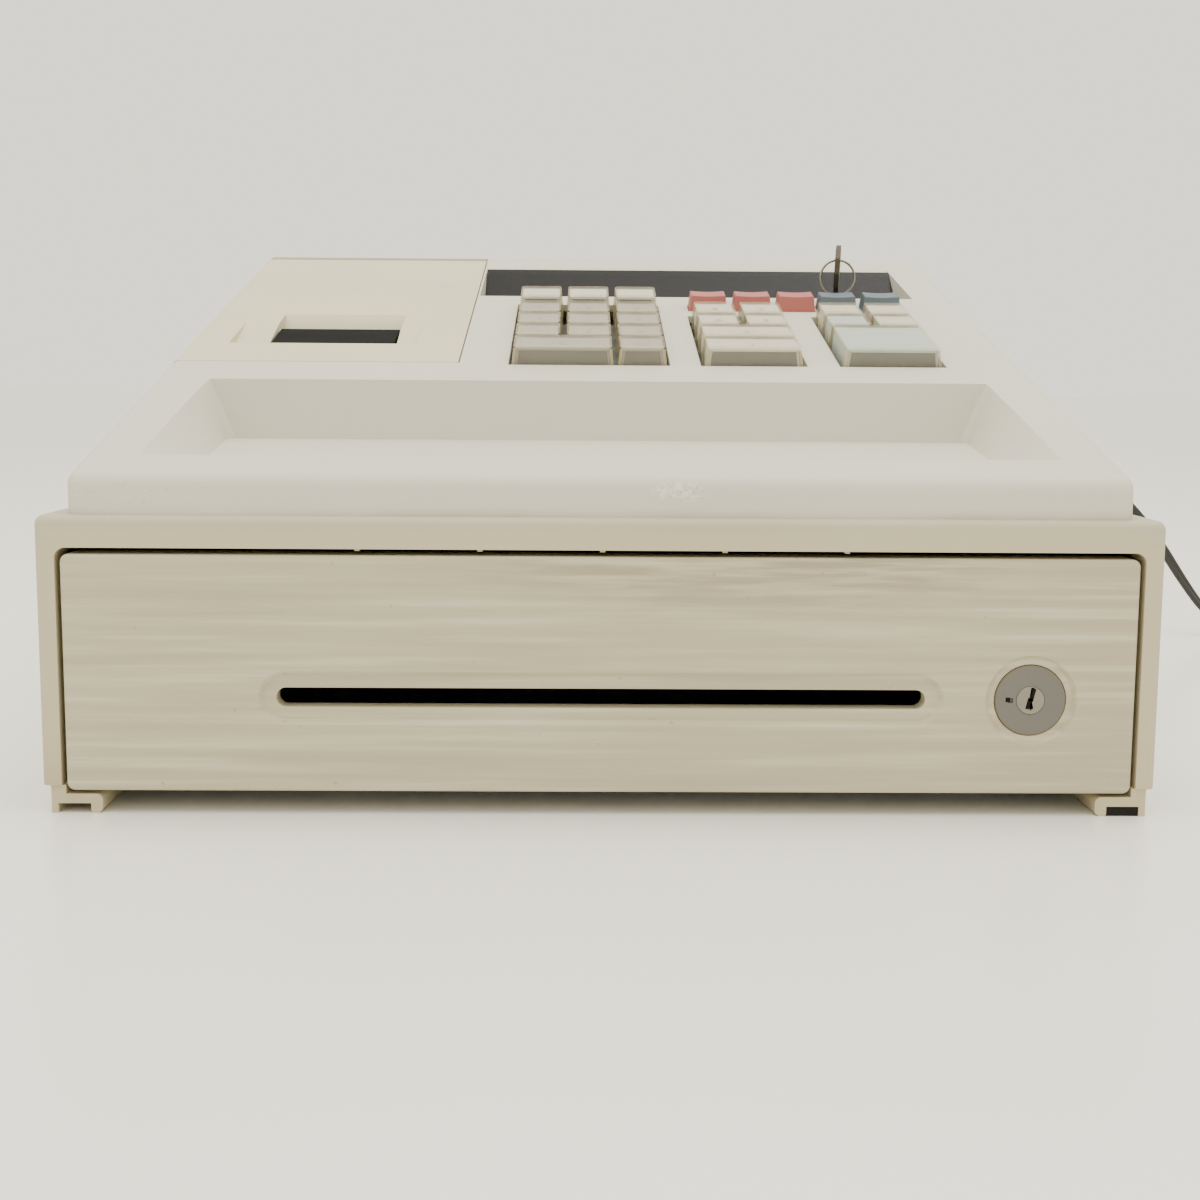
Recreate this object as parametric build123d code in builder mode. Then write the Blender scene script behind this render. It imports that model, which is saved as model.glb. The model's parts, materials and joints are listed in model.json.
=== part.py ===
"""Compact electronic cash register: a drawer unit with a keyboard and printer case on top.

Frame: X to the right, Y towards the back, Z up, millimetres.  The origin is the centre of
the footprint, on the surface that the register stands on.
"""
from build123d import *
import os
from math import cos, pi, radians, sin, tan

os.makedirs("parts", exist_ok=True)

# ---------------------------------------------------------------- driving dimensions
WIDTH = 355.0                 # drawer housing, side to side
DEPTH = 424.0                 # drawer front to back wall
WALL = 3.0                    # moulded wall
FRONT = -DEPTH / 2
BACK = DEPTH / 2
HALF = WIDTH / 2

HOUSING_BOTTOM = 9.0
HOUSING_TOP = 95.1
OPENING_HALF = 171.2          # mouth of the housing
OPENING_TOP = 84.9
LIP_DEPTH = 14.0              # front lips of the housing, and the drawer front's rim

RAIL_OUTER = 174.8            # foot rails
RAIL_INNER = 158.6
RAIL_WEB = (3.1, 6.2)
PLATE = (6.2, 7.2)            # base plate of the housing

DRAWER_HALF = 169.6           # drawer front
DRAWER_Z = (7.4, 82.9)
SLOT_Z = 37.6                 # centre height of the media slot and the lock
SLOT_SIZE = (206.0, 6.2)
DISH_SIZE = (217.0, 17.2)
LOCK_X = 136.5
LOCK_DEPTH = 16.6
PAN_HALF = 166.0              # steel drawer pan
PAN_Y = (FRONT + LIP_DEPTH, 122.0)
PAN_Z = (8.6, 78.0)
PAN_STEP = 7.0                # width of the ledges that carry the cash tray
FLANGE_TOP = 25.0
SHEET = 1.0                   # sheet steel
TRAY_HALF = 163.0             # loose cash tray in the pan
TRAY_Y = (-191.0, 114.0)
TRAY_Z = (44.0, 80.0)

CASE_HALF = 167.7             # upper case
CASE_FRONT = FRONT + 3.0
PANEL_Y, PANEL_Z = FRONT + 18.9, 111.7   # front edge of the sloping panel
SLOPE = 14.4                  # panel angle
PANEL_LENGTH = 356.0
DECK_BACK = (194.0, 199.0)    # back edge of the level deck behind the panel
CASE_BACK = 204.0

KEY_PITCH = 22.4              # key rows, front to back
KEY_FRONT = 128.5             # front of the first row, along the panel
KEY_GAP = 1.6
KEY_HEIGHT = 7.3
KEY_SKIRT = 5.0               # how far a key reaches below the panel
SHEET_DEPTH = 9.5             # top of the contact sheet below the panel

COVER_S = (131.2, 346.0)      # printer cover along the panel, and its hinge line
COVER_X = (-CASE_HALF, -55.4)
COVER_SKIN = 2.5
HINGE_DEPTH = 6.0             # hinge axis below the panel
PIN_R = 1.5
RUNNING = 0.06                # radial clearance of pins and shafts

DISPLAY_X = (-53.9, 148.0)
DISPLAY_S = (259.5, 330.0)
DISPLAY_DROP = 28.0           # depth of the display recess at its front wall

CORD_WIDTH = 5.2              # flat flex; its tube is round here
COIL_CENTRE = (407.0, 190.6)
COIL_RADII = (17.8, 44.2)
COIL_HEIGHT = 5.6

sn, cs = sin(radians(SLOPE)), cos(radians(SLOPE))
PANEL = Plane(origin=(0, PANEL_Y, PANEL_Z), x_dir=(1, 0, 0), z_dir=(0, -sn, cs))
SIDE = Plane(origin=(0, PANEL_Y, PANEL_Z), x_dir=(0, cs, sn), z_dir=(1, 0, 0))


def on_panel(s, h=0.0):
    """World Y and Z of a point s along the panel and h above it."""
    return PANEL_Y + s * cs - h * sn, PANEL_Z + s * sn + h * cs


def save(builder, name):
    """Label a finished piece and write its STEP file."""
    builder.part.label = name
    export_step(builder.part, f"parts/{name}.step")


def centred(low, high):
    """Middle and size of an interval."""
    return (low + high) / 2, high - low


def block(x, y, z, mode=Mode.ADD):
    """A box given by its X, Y and Z intervals, in the open part builder."""
    (cx, dx), (cy, dy), (cz, dz) = centred(*x), centred(*y), centred(*z)
    with Locations((cx, cy, cz)):
        Box(dx, dy, dz, mode=mode)


def panel_block(x, s, h, mode=Mode.ADD):
    """A box given by its X interval, its interval along the panel, and its heights over it."""
    (cx, dx), (cl, dl) = centred(*x), centred(*s)
    with BuildSketch(PANEL.offset(h[0])) as outline:
        with Locations((cx, cl)):
            Rectangle(dx, dl)
    extrude(outline.sketch, amount=h[1] - h[0], mode=mode)


def side_prism(points, x, plane=Plane.YZ, mode=Mode.ADD):
    """A prism across the register: a side outline between two X planes."""
    with BuildSketch(plane.offset(x[0])) as outline:
        with BuildLine():
            Polyline(*points, close=True)
        make_face()
    extrude(outline.sketch, amount=x[1] - x[0], mode=mode)


# ---------------------------------------------------------------- drawer unit
def drawer_housing():
    nubs = [38.5 * k for k in range(-2, 3)]
    with BuildPart() as housing:
        with BuildSketch(Plane.XZ.offset(-FRONT)):
            with BuildLine():
                Polyline((-HALF, HOUSING_BOTTOM), (-HALF, HOUSING_TOP), (HALF, HOUSING_TOP),
                         (HALF, HOUSING_BOTTOM), close=True)
            face = make_face()
            fillet(face.vertices().group_by(Axis.Y)[-1], 3.2)
            fillet(face.vertices().group_by(Axis.Y)[0], 2.4)
        extrude(amount=-DEPTH)
        fillet(housing.faces().sort_by(Axis.Y)[0].edges().filter_by(Axis.X)
               .sort_by(Axis.Z)[-1], 2.6)
        # the mouth, with rounded top corners, through the front lips only
        with BuildSketch(Plane.XZ.offset(-FRONT)):
            with Locations((0, OPENING_TOP / 2)):
                mouth = Rectangle(2 * OPENING_HALF, OPENING_TOP)
            fillet(mouth.vertices().group_by(Axis.Y)[-1], 3.4)
        extrude(amount=-LIP_DEPTH - WALL, mode=Mode.SUBTRACT)
        block((-HALF + WALL, HALF - WALL), (FRONT + LIP_DEPTH, BACK - WALL),
              (0, HOUSING_TOP - WALL), mode=Mode.SUBTRACT)
        # small guide nubs under the top lip
        for x in nubs:
            block((x - 0.8, x + 0.8), (FRONT + 1.5, FRONT + 8), (OPENING_TOP - 0.7, OPENING_TOP + 1))
        # stiffening ribs under the top wall
        for x in (-110, 110):
            block((x - 1, x + 1), (FRONT + LIP_DEPTH, BACK - WALL), (90.2, HOUSING_TOP - WALL))
    save(housing, "drawer_housing")


def foot_rails():
    with BuildPart() as rails:
        for side in (-1, 1):
            outline = [(side * x, z) for x, z in (
                (RAIL_OUTER, 0), (RAIL_OUTER, HOUSING_BOTTOM), (RAIL_OUTER - 4.7, HOUSING_BOTTOM),
                (RAIL_OUTER - 4.7, RAIL_WEB[1]), (RAIL_INNER, RAIL_WEB[1]), (RAIL_INNER, 0),
                (RAIL_INNER + 3.7, 0), (RAIL_INNER + 3.7, RAIL_WEB[0]),
                (RAIL_OUTER - 2.1, RAIL_WEB[0]), (RAIL_OUTER - 2.1, 0))]
            with BuildSketch(Plane.XZ.offset(-FRONT - 0.6)):
                with BuildLine():
                    Polyline(*outline, close=True)
                make_face()
            extrude(amount=-(DEPTH - 8))
        along = rails.edges().filter_by(Axis.Y)
        fillet(along.filter_by(lambda e: abs(abs(e.center().X) - RAIL_INNER) < 0.01), 2.0)
        fillet(along.filter_by(lambda e: abs(e.center().Z) < 0.01
                               and abs(abs(e.center().X) - RAIL_INNER - 3.7) < 0.01), 0.8)
    save(rails, "foot_rails")


def rubber_pads():
    # the front left pad is missing on this register, so its channel is empty
    inner, outer = RAIL_INNER + 3.75, RAIL_OUTER - 2.15
    places = ((1, FRONT + 0.9), (1, BACK - 40), (-1, BACK - 40))
    with BuildPart() as pads:
        for side, y in places:
            block(sorted((side * inner, side * outer)), (y, y + 26), (0, RAIL_WEB[0]))
    save(pads, "rubber_pads")


def base_plate():
    with BuildPart() as plate:
        block((-RAIL_OUTER + 4.8, RAIL_OUTER - 4.8), (FRONT + LIP_DEPTH + 2, BACK - WALL), PLATE)
        for x in (-150, 150):
            block((x - 4, x + 4), (FRONT + LIP_DEPTH + 4, BACK - 90), (PLATE[1], PAN_Z[0] - 0.1))
        # round lightening holes
        with Locations([(x, 165, PLATE[0]) for x in (-90, -30, 30, 90)]):
            Cylinder(7, 6, mode=Mode.SUBTRACT)
    save(plate, "base_plate")


def drawer_latch():
    with BuildPart() as latch:
        block((-24, 24), (142, 184), (PLATE[1], PLATE[1] + 2))
        block((-18, 18), (150, 180), (PLATE[1] + 2, 46))
        with BuildSketch(Plane.XZ.offset(-134)):
            with Locations((0, 27)):
                Circle(4)
        extrude(amount=-16)
        block((-7, 7), (127, 134), (20, 34))
    save(latch, "drawer_latch")


# ---------------------------------------------------------------- drawer
def stadium_pocket(length, height, depth, inset):
    """A shallow rounded-end pocket in the drawer face whose rim slopes by inset."""
    with BuildSketch(Plane.XZ.offset(-FRONT)) as rim:
        with Locations((0, SLOT_Z)):
            SlotOverall(length, height)
    with BuildSketch(Plane.XZ.offset(-FRONT - depth)) as floor:
        with Locations((0, SLOT_Z)):
            SlotOverall(length - 2 * inset, height - 2 * inset)
    loft([rim.sketch, floor.sketch], mode=Mode.SUBTRACT)


def drawer_front():
    mid_z, tall = centred(*DRAWER_Z)
    with BuildPart() as front:
        with BuildSketch(Plane.XZ.offset(-FRONT)):
            with Locations((0, mid_z)):
                RectangleRounded(2 * DRAWER_HALF, tall, 2.6)
        extrude(amount=-LIP_DEPTH)
        fillet(front.faces().sort_by(Axis.Y)[0].edges(), 0.9)
        block((-DRAWER_HALF + WALL, DRAWER_HALF - WALL), (FRONT + WALL, FRONT + LIP_DEPTH),
              (DRAWER_Z[0] + WALL, DRAWER_Z[1] - WALL), mode=Mode.SUBTRACT)
        # thicker land behind the media slot
        block((-112, 112), (FRONT + WALL, FRONT + 8), (SLOT_Z - 11, SLOT_Z + 11))
        stadium_pocket(*DISH_SIZE, depth=1.5, inset=1.6)
        with BuildSketch(Plane.XZ.offset(-FRONT)):
            with Locations((0, SLOT_Z)):
                SlotOverall(*SLOT_SIZE)
        extrude(amount=-LIP_DEPTH, mode=Mode.SUBTRACT)
        # lock boss with a shallow dished surround
        with BuildSketch(Plane.XZ.offset(-FRONT - WALL)):
            with Locations((LOCK_X, SLOT_Z)):
                Circle(15)
        extrude(amount=-9)
        with Locations(Plane(origin=(LOCK_X, FRONT + 0.75, SLOT_Z), z_dir=(0, -1, 0))):
            Cone(13.4, 14.6, 1.5, mode=Mode.SUBTRACT)
        with Locations(Plane(origin=(LOCK_X, FRONT + 1, SLOT_Z), z_dir=(0, -1, 0))):
            Cylinder(11.6, 4.2, mode=Mode.SUBTRACT)
            Cylinder(9.6, 40, mode=Mode.SUBTRACT)
    save(front, "drawer_front")


def drawer_pan():
    """Sheet steel pan: side walls with a step that carries the cash tray, low front flange."""
    low_half = PAN_HALF - PAN_STEP
    inside_y = (PAN_Y[0] + SHEET, PAN_Y[1] - SHEET)
    with BuildPart() as pan:
        block((-low_half, low_half), PAN_Y, (PAN_Z[0], TRAY_Z[0]))
        block((-PAN_HALF, PAN_HALF), PAN_Y, (TRAY_Z[0] - SHEET, PAN_Z[1]))
        block((-low_half + SHEET, low_half - SHEET), inside_y, (PAN_Z[0] + SHEET, TRAY_Z[0]),
              mode=Mode.SUBTRACT)
        block((-PAN_HALF + SHEET, PAN_HALF - SHEET), inside_y, (TRAY_Z[0], PAN_Z[1] + 5),
              mode=Mode.SUBTRACT)
        # the media slot and the lock pass over the front flange
        block((-PAN_HALF - 1, PAN_HALF + 1), (PAN_Y[0] - 1, PAN_Y[0] + SHEET),
              (FLANGE_TOP, PAN_Z[1] + 5), mode=Mode.SUBTRACT)
    save(pan, "drawer_pan")


COIN_CUPS = 6
BILL_BAYS = 3
RIB = 2.0
COIN_Y = (TRAY_Y[0] + RIB, -104.0)
BILL_Y = (COIN_Y[1] + RIB, TRAY_Y[1] - RIB)
CLIP_PIVOT = (101.0, 73.0)


def cell_spans(count):
    """X intervals of equal cells across the cash tray."""
    inner = 2 * TRAY_HALF - 2 * RIB
    wide = (inner - (count - 1) * RIB) / count
    return [(-TRAY_HALF + RIB + k * (wide + RIB), -TRAY_HALF + RIB + k * (wide + RIB) + wide)
            for k in range(count)]


def cash_tray():
    floor = TRAY_Z[0] + RIB
    with BuildPart() as tray:
        block((-TRAY_HALF, TRAY_HALF), TRAY_Y, TRAY_Z)
        for x in cell_spans(COIN_CUPS):
            # scooped coin cups
            with BuildSketch(Plane.YZ.offset(x[0])):
                with BuildLine():
                    Polyline((COIN_Y[0], TRAY_Z[1] + 2), (COIN_Y[0], floor), (COIN_Y[1], floor),
                             (COIN_Y[1], TRAY_Z[1] + 2), close=True)
                cup = make_face()
                fillet(cup.vertices().group_by(Axis.Y)[0], 20)
            extrude(amount=x[1] - x[0], mode=Mode.SUBTRACT)
        for x in cell_spans(BILL_BAYS):
            block(x, BILL_Y, (floor, TRAY_Z[1] + 2), mode=Mode.SUBTRACT)
            # ears and pin of the bill clip
            mid = sum(x) / 2
            for side in (-1, 1):
                ear = sorted((mid + side * 8.5, mid + side * 11))
                block(ear, (CLIP_PIVOT[0] - 4, BILL_Y[1]), (CLIP_PIVOT[1] - 4, CLIP_PIVOT[1] + 4))
            with BuildSketch(Plane.YZ.offset(mid - 9)):
                with Locations(CLIP_PIVOT):
                    Circle(PIN_R)
            extrude(amount=18)
    save(tray, "cash_tray")


def bill_clip(name, x):
    mid = sum(x) / 2
    y, z = CLIP_PIVOT
    tip = (y - 96, 49.5)
    with BuildPart() as clip:
        with BuildSketch(Plane.YZ.offset(mid - 8)):
            with Locations(CLIP_PIVOT):
                Circle(3.4)
        extrude(amount=16)
        side_prism(((y - 1, z + 3), (tip[0], tip[1] + 2), (tip[0], tip[1]), (y - 1, z + 0.6)),
                   (mid - 6, mid + 6))
        # presser foot
        block((mid - 17, mid + 17), (tip[0] - 16, tip[0] + 4), (tip[1] - 2.6, tip[1] + 0.4))
        with BuildSketch(Plane.YZ.offset(mid - 8)):
            with Locations(CLIP_PIVOT):
                Circle(PIN_R + RUNNING)
        extrude(amount=16, mode=Mode.SUBTRACT)
    save(clip, name)


def lock_case():
    axis = Plane(origin=(LOCK_X, FRONT + 0.9, SLOT_Z), z_dir=(0, 1, 0))
    with BuildPart() as case:
        with BuildSketch(axis):
            Circle(11.4)
        extrude(amount=2.0)
        fillet(case.faces().sort_by(Axis.Y)[0].edges(), 0.7)
        with BuildSketch(axis.offset(2.0)):
            Circle(9.4)
        extrude(amount=LOCK_DEPTH - 2.0)
        with BuildSketch(axis):
            Circle(4.5 + RUNNING)
        extrude(amount=LOCK_DEPTH, mode=Mode.SUBTRACT)
        # small square index mark
        block((LOCK_X - 7.2, LOCK_X - 5.6), (FRONT, FRONT + 1.6), (SLOT_Z - 0.8, SLOT_Z + 0.8),
              mode=Mode.SUBTRACT)
    save(case, "lock_case")


def lock_plug():
    axis = Plane(origin=(LOCK_X, FRONT + 0.7, SLOT_Z), z_dir=(0, 1, 0))
    tilt = radians(8)
    with BuildPart() as plug:
        with BuildSketch(axis):
            Circle(4.5)
        extrude(amount=LOCK_DEPTH + 0.6)
        fillet(plug.faces().sort_by(Axis.Y)[0].edges(), 0.3)
        # kinked keyway
        with BuildSketch(Plane.XZ.offset(-FRONT)):
            with BuildLine():
                Polyline(*[(LOCK_X + x * cos(tilt) + z * sin(tilt),
                            SLOT_Z - x * sin(tilt) + z * cos(tilt))
                           for x, z in ((-0.5, 4.2), (0.6, 4.2), (0.6, -0.4), (1.3, -2.4),
                                        (0.4, -3.2), (-0.6, -1.6), (-0.5, -0.4))], close=True)
            make_face()
        extrude(amount=-8, mode=Mode.SUBTRACT)
        # locking cam on the back of the plug
        back = FRONT + LOCK_DEPTH + 1.3
        block((LOCK_X - 4, LOCK_X + 4), (back, back + 2), (SLOT_Z - 24, SLOT_Z + 4))
    save(plug, "lock_plug")


# ---------------------------------------------------------------- upper case
RIDGE = on_panel(PANEL_LENGTH)
LIP_TOP = PANEL_Z + (CASE_FRONT - PANEL_Y) * tan(radians(SLOPE))
CASE_OUTLINE = ((CASE_FRONT, HOUSING_TOP), (CASE_FRONT, LIP_TOP), RIDGE, DECK_BACK,
                (CASE_BACK, HOUSING_TOP))
TRAY_S = (5.0, 103.0)         # change tray mouth along the panel
TRAY_MOUTH = (149.4, 147.4)   # its half widths, front and back
TRAY_BED = (136.5, 140.5)     # half widths of its floor, front and back
TRAY_FLOOR = (105.2, 115.0)   # its floor height, front and back
MODE_X, MODE_S = 110.8, 251.3
POPUP_X = (36.0, 146.0)
POPUP_Y = (160.0, 186.0)
POPUP_TOP = 199.3
EXIT_Y, EXIT_Z = 174.0, 118.0  # where the mains lead leaves the right side

LEFT_COLUMNS = (-24.6, -3.6, 17.4)
LEFT_KEY = 19.4
MIDDLE_X, RIGHT_X = 61.5, 116.4
PAIR_PITCH = 20.2
TOP_ROW_X = (50.4, 70.3, 90.1, 108.8, 128.6)
TOP_ROW_S = (229.6, 241.4)


def row_span(row, rows=1):
    """Extent along the panel of a key in row 0 (front) to 4, or of one that spans more rows."""
    start = KEY_FRONT + row * KEY_PITCH
    return start + KEY_GAP / 2, start + rows * KEY_PITCH - KEY_GAP / 2


def upper_case():
    with BuildPart() as case:
        with BuildSketch(Plane.YZ.offset(-CASE_HALF)):
            with BuildLine():
                Polyline(*CASE_OUTLINE, close=True)
            make_face()
        extrude(amount=2 * CASE_HALF)
        for corner, radius in ((1, 4.6), (2, 5.0), (3, 6.0)):
            y, z = CASE_OUTLINE[corner]
            edge = case.edges().filter_by(Axis.X).sort_by_distance((0, y, z))[0]
            fillet(edge, radius)
        rims = [e for f in (case.faces().sort_by(Axis.X)[0], case.faces().sort_by(Axis.X)[-1])
                for e in f.edges() if e.center().Z > HOUSING_TOP + 0.5]
        fillet(rims, 2.8)
        with BuildSketch(Plane.YZ.offset(-CASE_HALF + WALL)):
            with BuildLine():
                Polyline(*CASE_OUTLINE, close=True)
            make_face()
            offset(amount=-WALL, kind=Kind.INTERSECTION, mode=Mode.REPLACE)
            with Locations(((CASE_FRONT + CASE_BACK) / 2 - 0.2, HOUSING_TOP + 2)):
                Rectangle(CASE_BACK - CASE_FRONT - 2 * WALL - 0.2, 4.5)
        extrude(amount=2 * (CASE_HALF - WALL), mode=Mode.SUBTRACT)
        change_tray()
        display_recess()
        key_openings()
        printer_bay()
        # deck slot for the customer display
        block(POPUP_X, POPUP_Y, (150, 210), mode=Mode.SUBTRACT)
        # lead outlet in the right wall
        with BuildSketch(Plane.YZ.offset(CASE_HALF + 1)):
            with Locations((EXIT_Y, EXIT_Z)):
                Circle(5.0)
        extrude(amount=-WALL - 2, mode=Mode.SUBTRACT)
        # vent slots in the back wall
        for k in range(9):
            x = -130 + 11 * k
            block((x, x + 4), (CASE_BACK - 16, CASE_BACK + 5), (118, 158), mode=Mode.SUBTRACT)
        # posts that carry the circuit board
        for x in (-44, 151):
            for s in (120, 250):
                panel_block((x - 3.5, x + 3.5), (s - 3.5, s + 3.5), (-SHEET_DEPTH - 2.4, -WALL + 0.5))
    save(case, "upper_case")


def tray_shape(grow, rise, mode):
    """The tray's hollow up to `rise` off the panel, or its basin when `grow` is a wall."""
    front_y, front_z = on_panel(TRAY_S[0])
    back_y, back_z = on_panel(TRAY_S[1])
    run = back_y - front_y - 5
    drop = TRAY_FLOOR[1] - TRAY_FLOOR[0]
    leans = ((TRAY_MOUTH[0] - TRAY_BED[0]) / (front_z - TRAY_FLOOR[0]),
             (TRAY_MOUTH[1] - TRAY_BED[1]) / (back_z - TRAY_FLOOR[1]))
    with BuildSketch(Plane(origin=(0, front_y + 4 - grow, TRAY_FLOOR[0] - grow),
                           x_dir=(1, 0, 0), z_dir=(0, -drop / run, 1))) as floor:
        w0, w1 = TRAY_BED[0] + grow, TRAY_BED[1] + grow
        deep = run + 2 * grow
        with BuildLine():
            Polyline((-w0, 0), (w0, 0), (w1, deep), (-w1, deep), close=True)
        make_face()
        fillet(floor.vertices(), 3 + grow)
    with BuildSketch(PANEL.offset(rise)) as mouth:
        w0, w1 = (TRAY_MOUTH[k] + grow + rise * leans[k] for k in (0, 1))
        s0, s1 = TRAY_S[0] - grow - 0.25 * rise, TRAY_S[1] + grow + 0.3 * rise
        with BuildLine():
            Polyline((-w0, s0), (w0, s0), (w1, s1), (-w1, s1), close=True)
        make_face()
        front, back = (mouth.vertices().group_by(Axis.Y)[k] for k in (0, -1))
        fillet(front, 1.5 + grow)
        fillet(back, 7 + grow)
    loft([floor.sketch, mouth.sketch], ruled=True, mode=mode)


def change_tray():
    """The sunken change tray in front of the keys: a walled basin, then its hollow."""
    tray_shape(2.6, -1.0, Mode.ADD)
    tray_shape(0.0, 2.0, Mode.SUBTRACT)


def display_recess():
    """A wedge-shaped recess whose sloping floor carries the display window."""
    s0, s1 = DISPLAY_S
    skin = 2.4
    side_prism(((s0 - skin, -1), (s0 - skin, -DISPLAY_DROP - skin), (s0 + 3, -DISPLAY_DROP - skin),
                (s1 + 6, -skin), (s1 + 6, -1)),
               (DISPLAY_X[0] - skin, DISPLAY_X[1] + skin), plane=SIDE)
    side_prism(((s0, 4), (s0, -DISPLAY_DROP), (s1, 0), (s1, 4)), DISPLAY_X, plane=SIDE,
               mode=Mode.SUBTRACT)
    inset = 6
    drop = DISPLAY_DROP * inset / (s1 - s0)
    side_prism(((s0 + inset, -DISPLAY_DROP - 8), (s0 + inset, -DISPLAY_DROP + drop + 1),
                (s1 - inset, -drop + 1), (s1 - inset, -10)),
               (DISPLAY_X[0] + inset, DISPLAY_X[1] - inset), plane=SIDE, mode=Mode.SUBTRACT)


def display_window():
    s0, s1 = DISPLAY_S
    thick = 2.6
    gap = 0.3
    per = DISPLAY_DROP / (s1 - s0)
    with BuildPart() as window:
        side_prism(((s0 + gap, -DISPLAY_DROP + gap * per), (s1 - 2 * thick, -2 * thick * per),
                    (s1 - 2 * thick - 1, -2 * thick * per + thick - 0.4),
                    (s0 + gap, -DISPLAY_DROP + thick)),
                   (DISPLAY_X[0] + gap, DISPLAY_X[1] - gap), plane=SIDE)
    save(window, "display_window")


def key_openings():
    front = KEY_FRONT - 0.6
    left = (LEFT_COLUMNS[0] - LEFT_KEY / 2 - 1.2, LEFT_COLUMNS[2] + LEFT_KEY / 2 + 1.2)
    panel_block(left, (front, KEY_FRONT + 5 * KEY_PITCH + 0.6), (-WALL - 1, 4), mode=Mode.SUBTRACT)
    for x in (MIDDLE_X, RIGHT_X):
        panel_block((x - 21.1, x + 21.1), (front, KEY_FRONT + 4 * KEY_PITCH + 0.6),
                    (-WALL - 1, 4), mode=Mode.SUBTRACT)
    for x in TOP_ROW_X:
        panel_block((x - 8.9, x + 8.9), (TOP_ROW_S[0] - 0.4, TOP_ROW_S[1] + 0.4),
                    (-WALL - 1, 4), mode=Mode.SUBTRACT)
    with BuildSketch(PANEL.offset(-10)) as hole:
        with Locations((MODE_X, MODE_S)):
            Circle(6.6)
    extrude(hole.sketch, amount=12, mode=Mode.SUBTRACT)


def printer_bay():
    """The top and the upper left wall are open under the printer cover."""
    panel_block((-180, COVER_X[1] + 0.6), (COVER_S[0] - 0.5, COVER_S[1] + 0.8), (-16, 8),
                mode=Mode.SUBTRACT)
    panel_block((-180, COVER_X[1] + 0.6), (COVER_S[1], COVER_S[1] + HINGE_DEPTH + 0.5),
                (-HINGE_DEPTH - 0.6, 8), mode=Mode.SUBTRACT)


# ---------------------------------------------------------------- printer
SLOT_X = (-137.0, -84.0)
SLOT_S = (163.0, 221.0)
RAMP_X = (-151.5, -74.5)
UPRIGHTS = (-147.0, -66.0)
PLATEN = (193.0, -22.0)       # along the panel, and below it
PLATEN_R = 6.0
ROLL = (288.0, -44.0)
ROLL_R = 28.0
ROLL_X = (-139.0, -81.5)


def printer_cover():
    s0, s1 = COVER_S
    x0, x1 = COVER_X
    with BuildPart() as cover:
        panel_block((x0, x1), (s0, s1), (-COVER_SKIN, 0))
        panel_block((x0, x0 + COVER_SKIN), (s0, s1), (-15.4, 0))
        panel_block((x1 - 2, x1), (s0, s1 - 20), (-9, 0))
        panel_block((x0, x1), (s0, s0 + 2), (-7, 0))
        fillet(cover.edges().filter_by(lambda e: e.length > 200 and abs(e.center().X - x0) < 0.1)
               .sort_by(Axis.Z)[-1], 2.2)
        # rounded hinge end
        left = x0 + WALL + 0.6
        with BuildSketch(SIDE.offset(left)):
            with Locations((s1, -HINGE_DEPTH)):
                Circle(HINGE_DEPTH)
                Circle(HINGE_DEPTH - COVER_SKIN, mode=Mode.SUBTRACT)
            with Locations((s1 - 10, -HINGE_DEPTH), (s1, -HINGE_DEPTH - 10)):
                Rectangle(20, 20, mode=Mode.SUBTRACT)
        extrude(amount=x1 - left)
        # ears with pins, outboard of the uprights
        for x, way in zip(UPRIGHTS, (-1, 1)):
            ear = sorted((x + way * 2.0, x + way * 5.0))
            with BuildSketch(SIDE.offset(ear[0])):
                with Locations((s1, -HINGE_DEPTH)):
                    Circle(HINGE_DEPTH - 0.2)
            extrude(amount=ear[1] - ear[0])
            pin = sorted((x - way * 1.5, x + way * 3))
            with BuildSketch(SIDE.offset(pin[0])):
                with Locations((s1, -HINGE_DEPTH)):
                    Circle(PIN_R)
            extrude(amount=pin[1] - pin[0])
        receipt_mouth()
    save(cover, "printer_cover")


def receipt_mouth():
    """The ramp to the receipt slot and the slot with its curved back wall."""
    panel_block((RAMP_X[0] - 2, RAMP_X[1] + 2), (SLOT_S[0] - 3, 204), (-7, -1))
    panel_block((SLOT_X[0] - 2, SLOT_X[1] + 2), (203, SLOT_S[1] + 2), (-12, -1))
    side_prism(((SLOT_S[0] - 1, 2), (SLOT_S[0] - 1, -4.2), (200, 0), (200, 2)), RAMP_X,
               plane=SIDE, mode=Mode.SUBTRACT)
    with BuildSketch(SIDE.offset(SLOT_X[0])) as mouth:
        with BuildLine():
            Polyline((SLOT_S[1], 3), (SLOT_S[0], 3), (SLOT_S[0], -14), (206, -14))
            ThreePointArc((206, -14), (211, -5), (SLOT_S[1], 3))
        make_face()
    extrude(mouth.sketch, amount=SLOT_X[1] - SLOT_X[0], mode=Mode.SUBTRACT)


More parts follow.
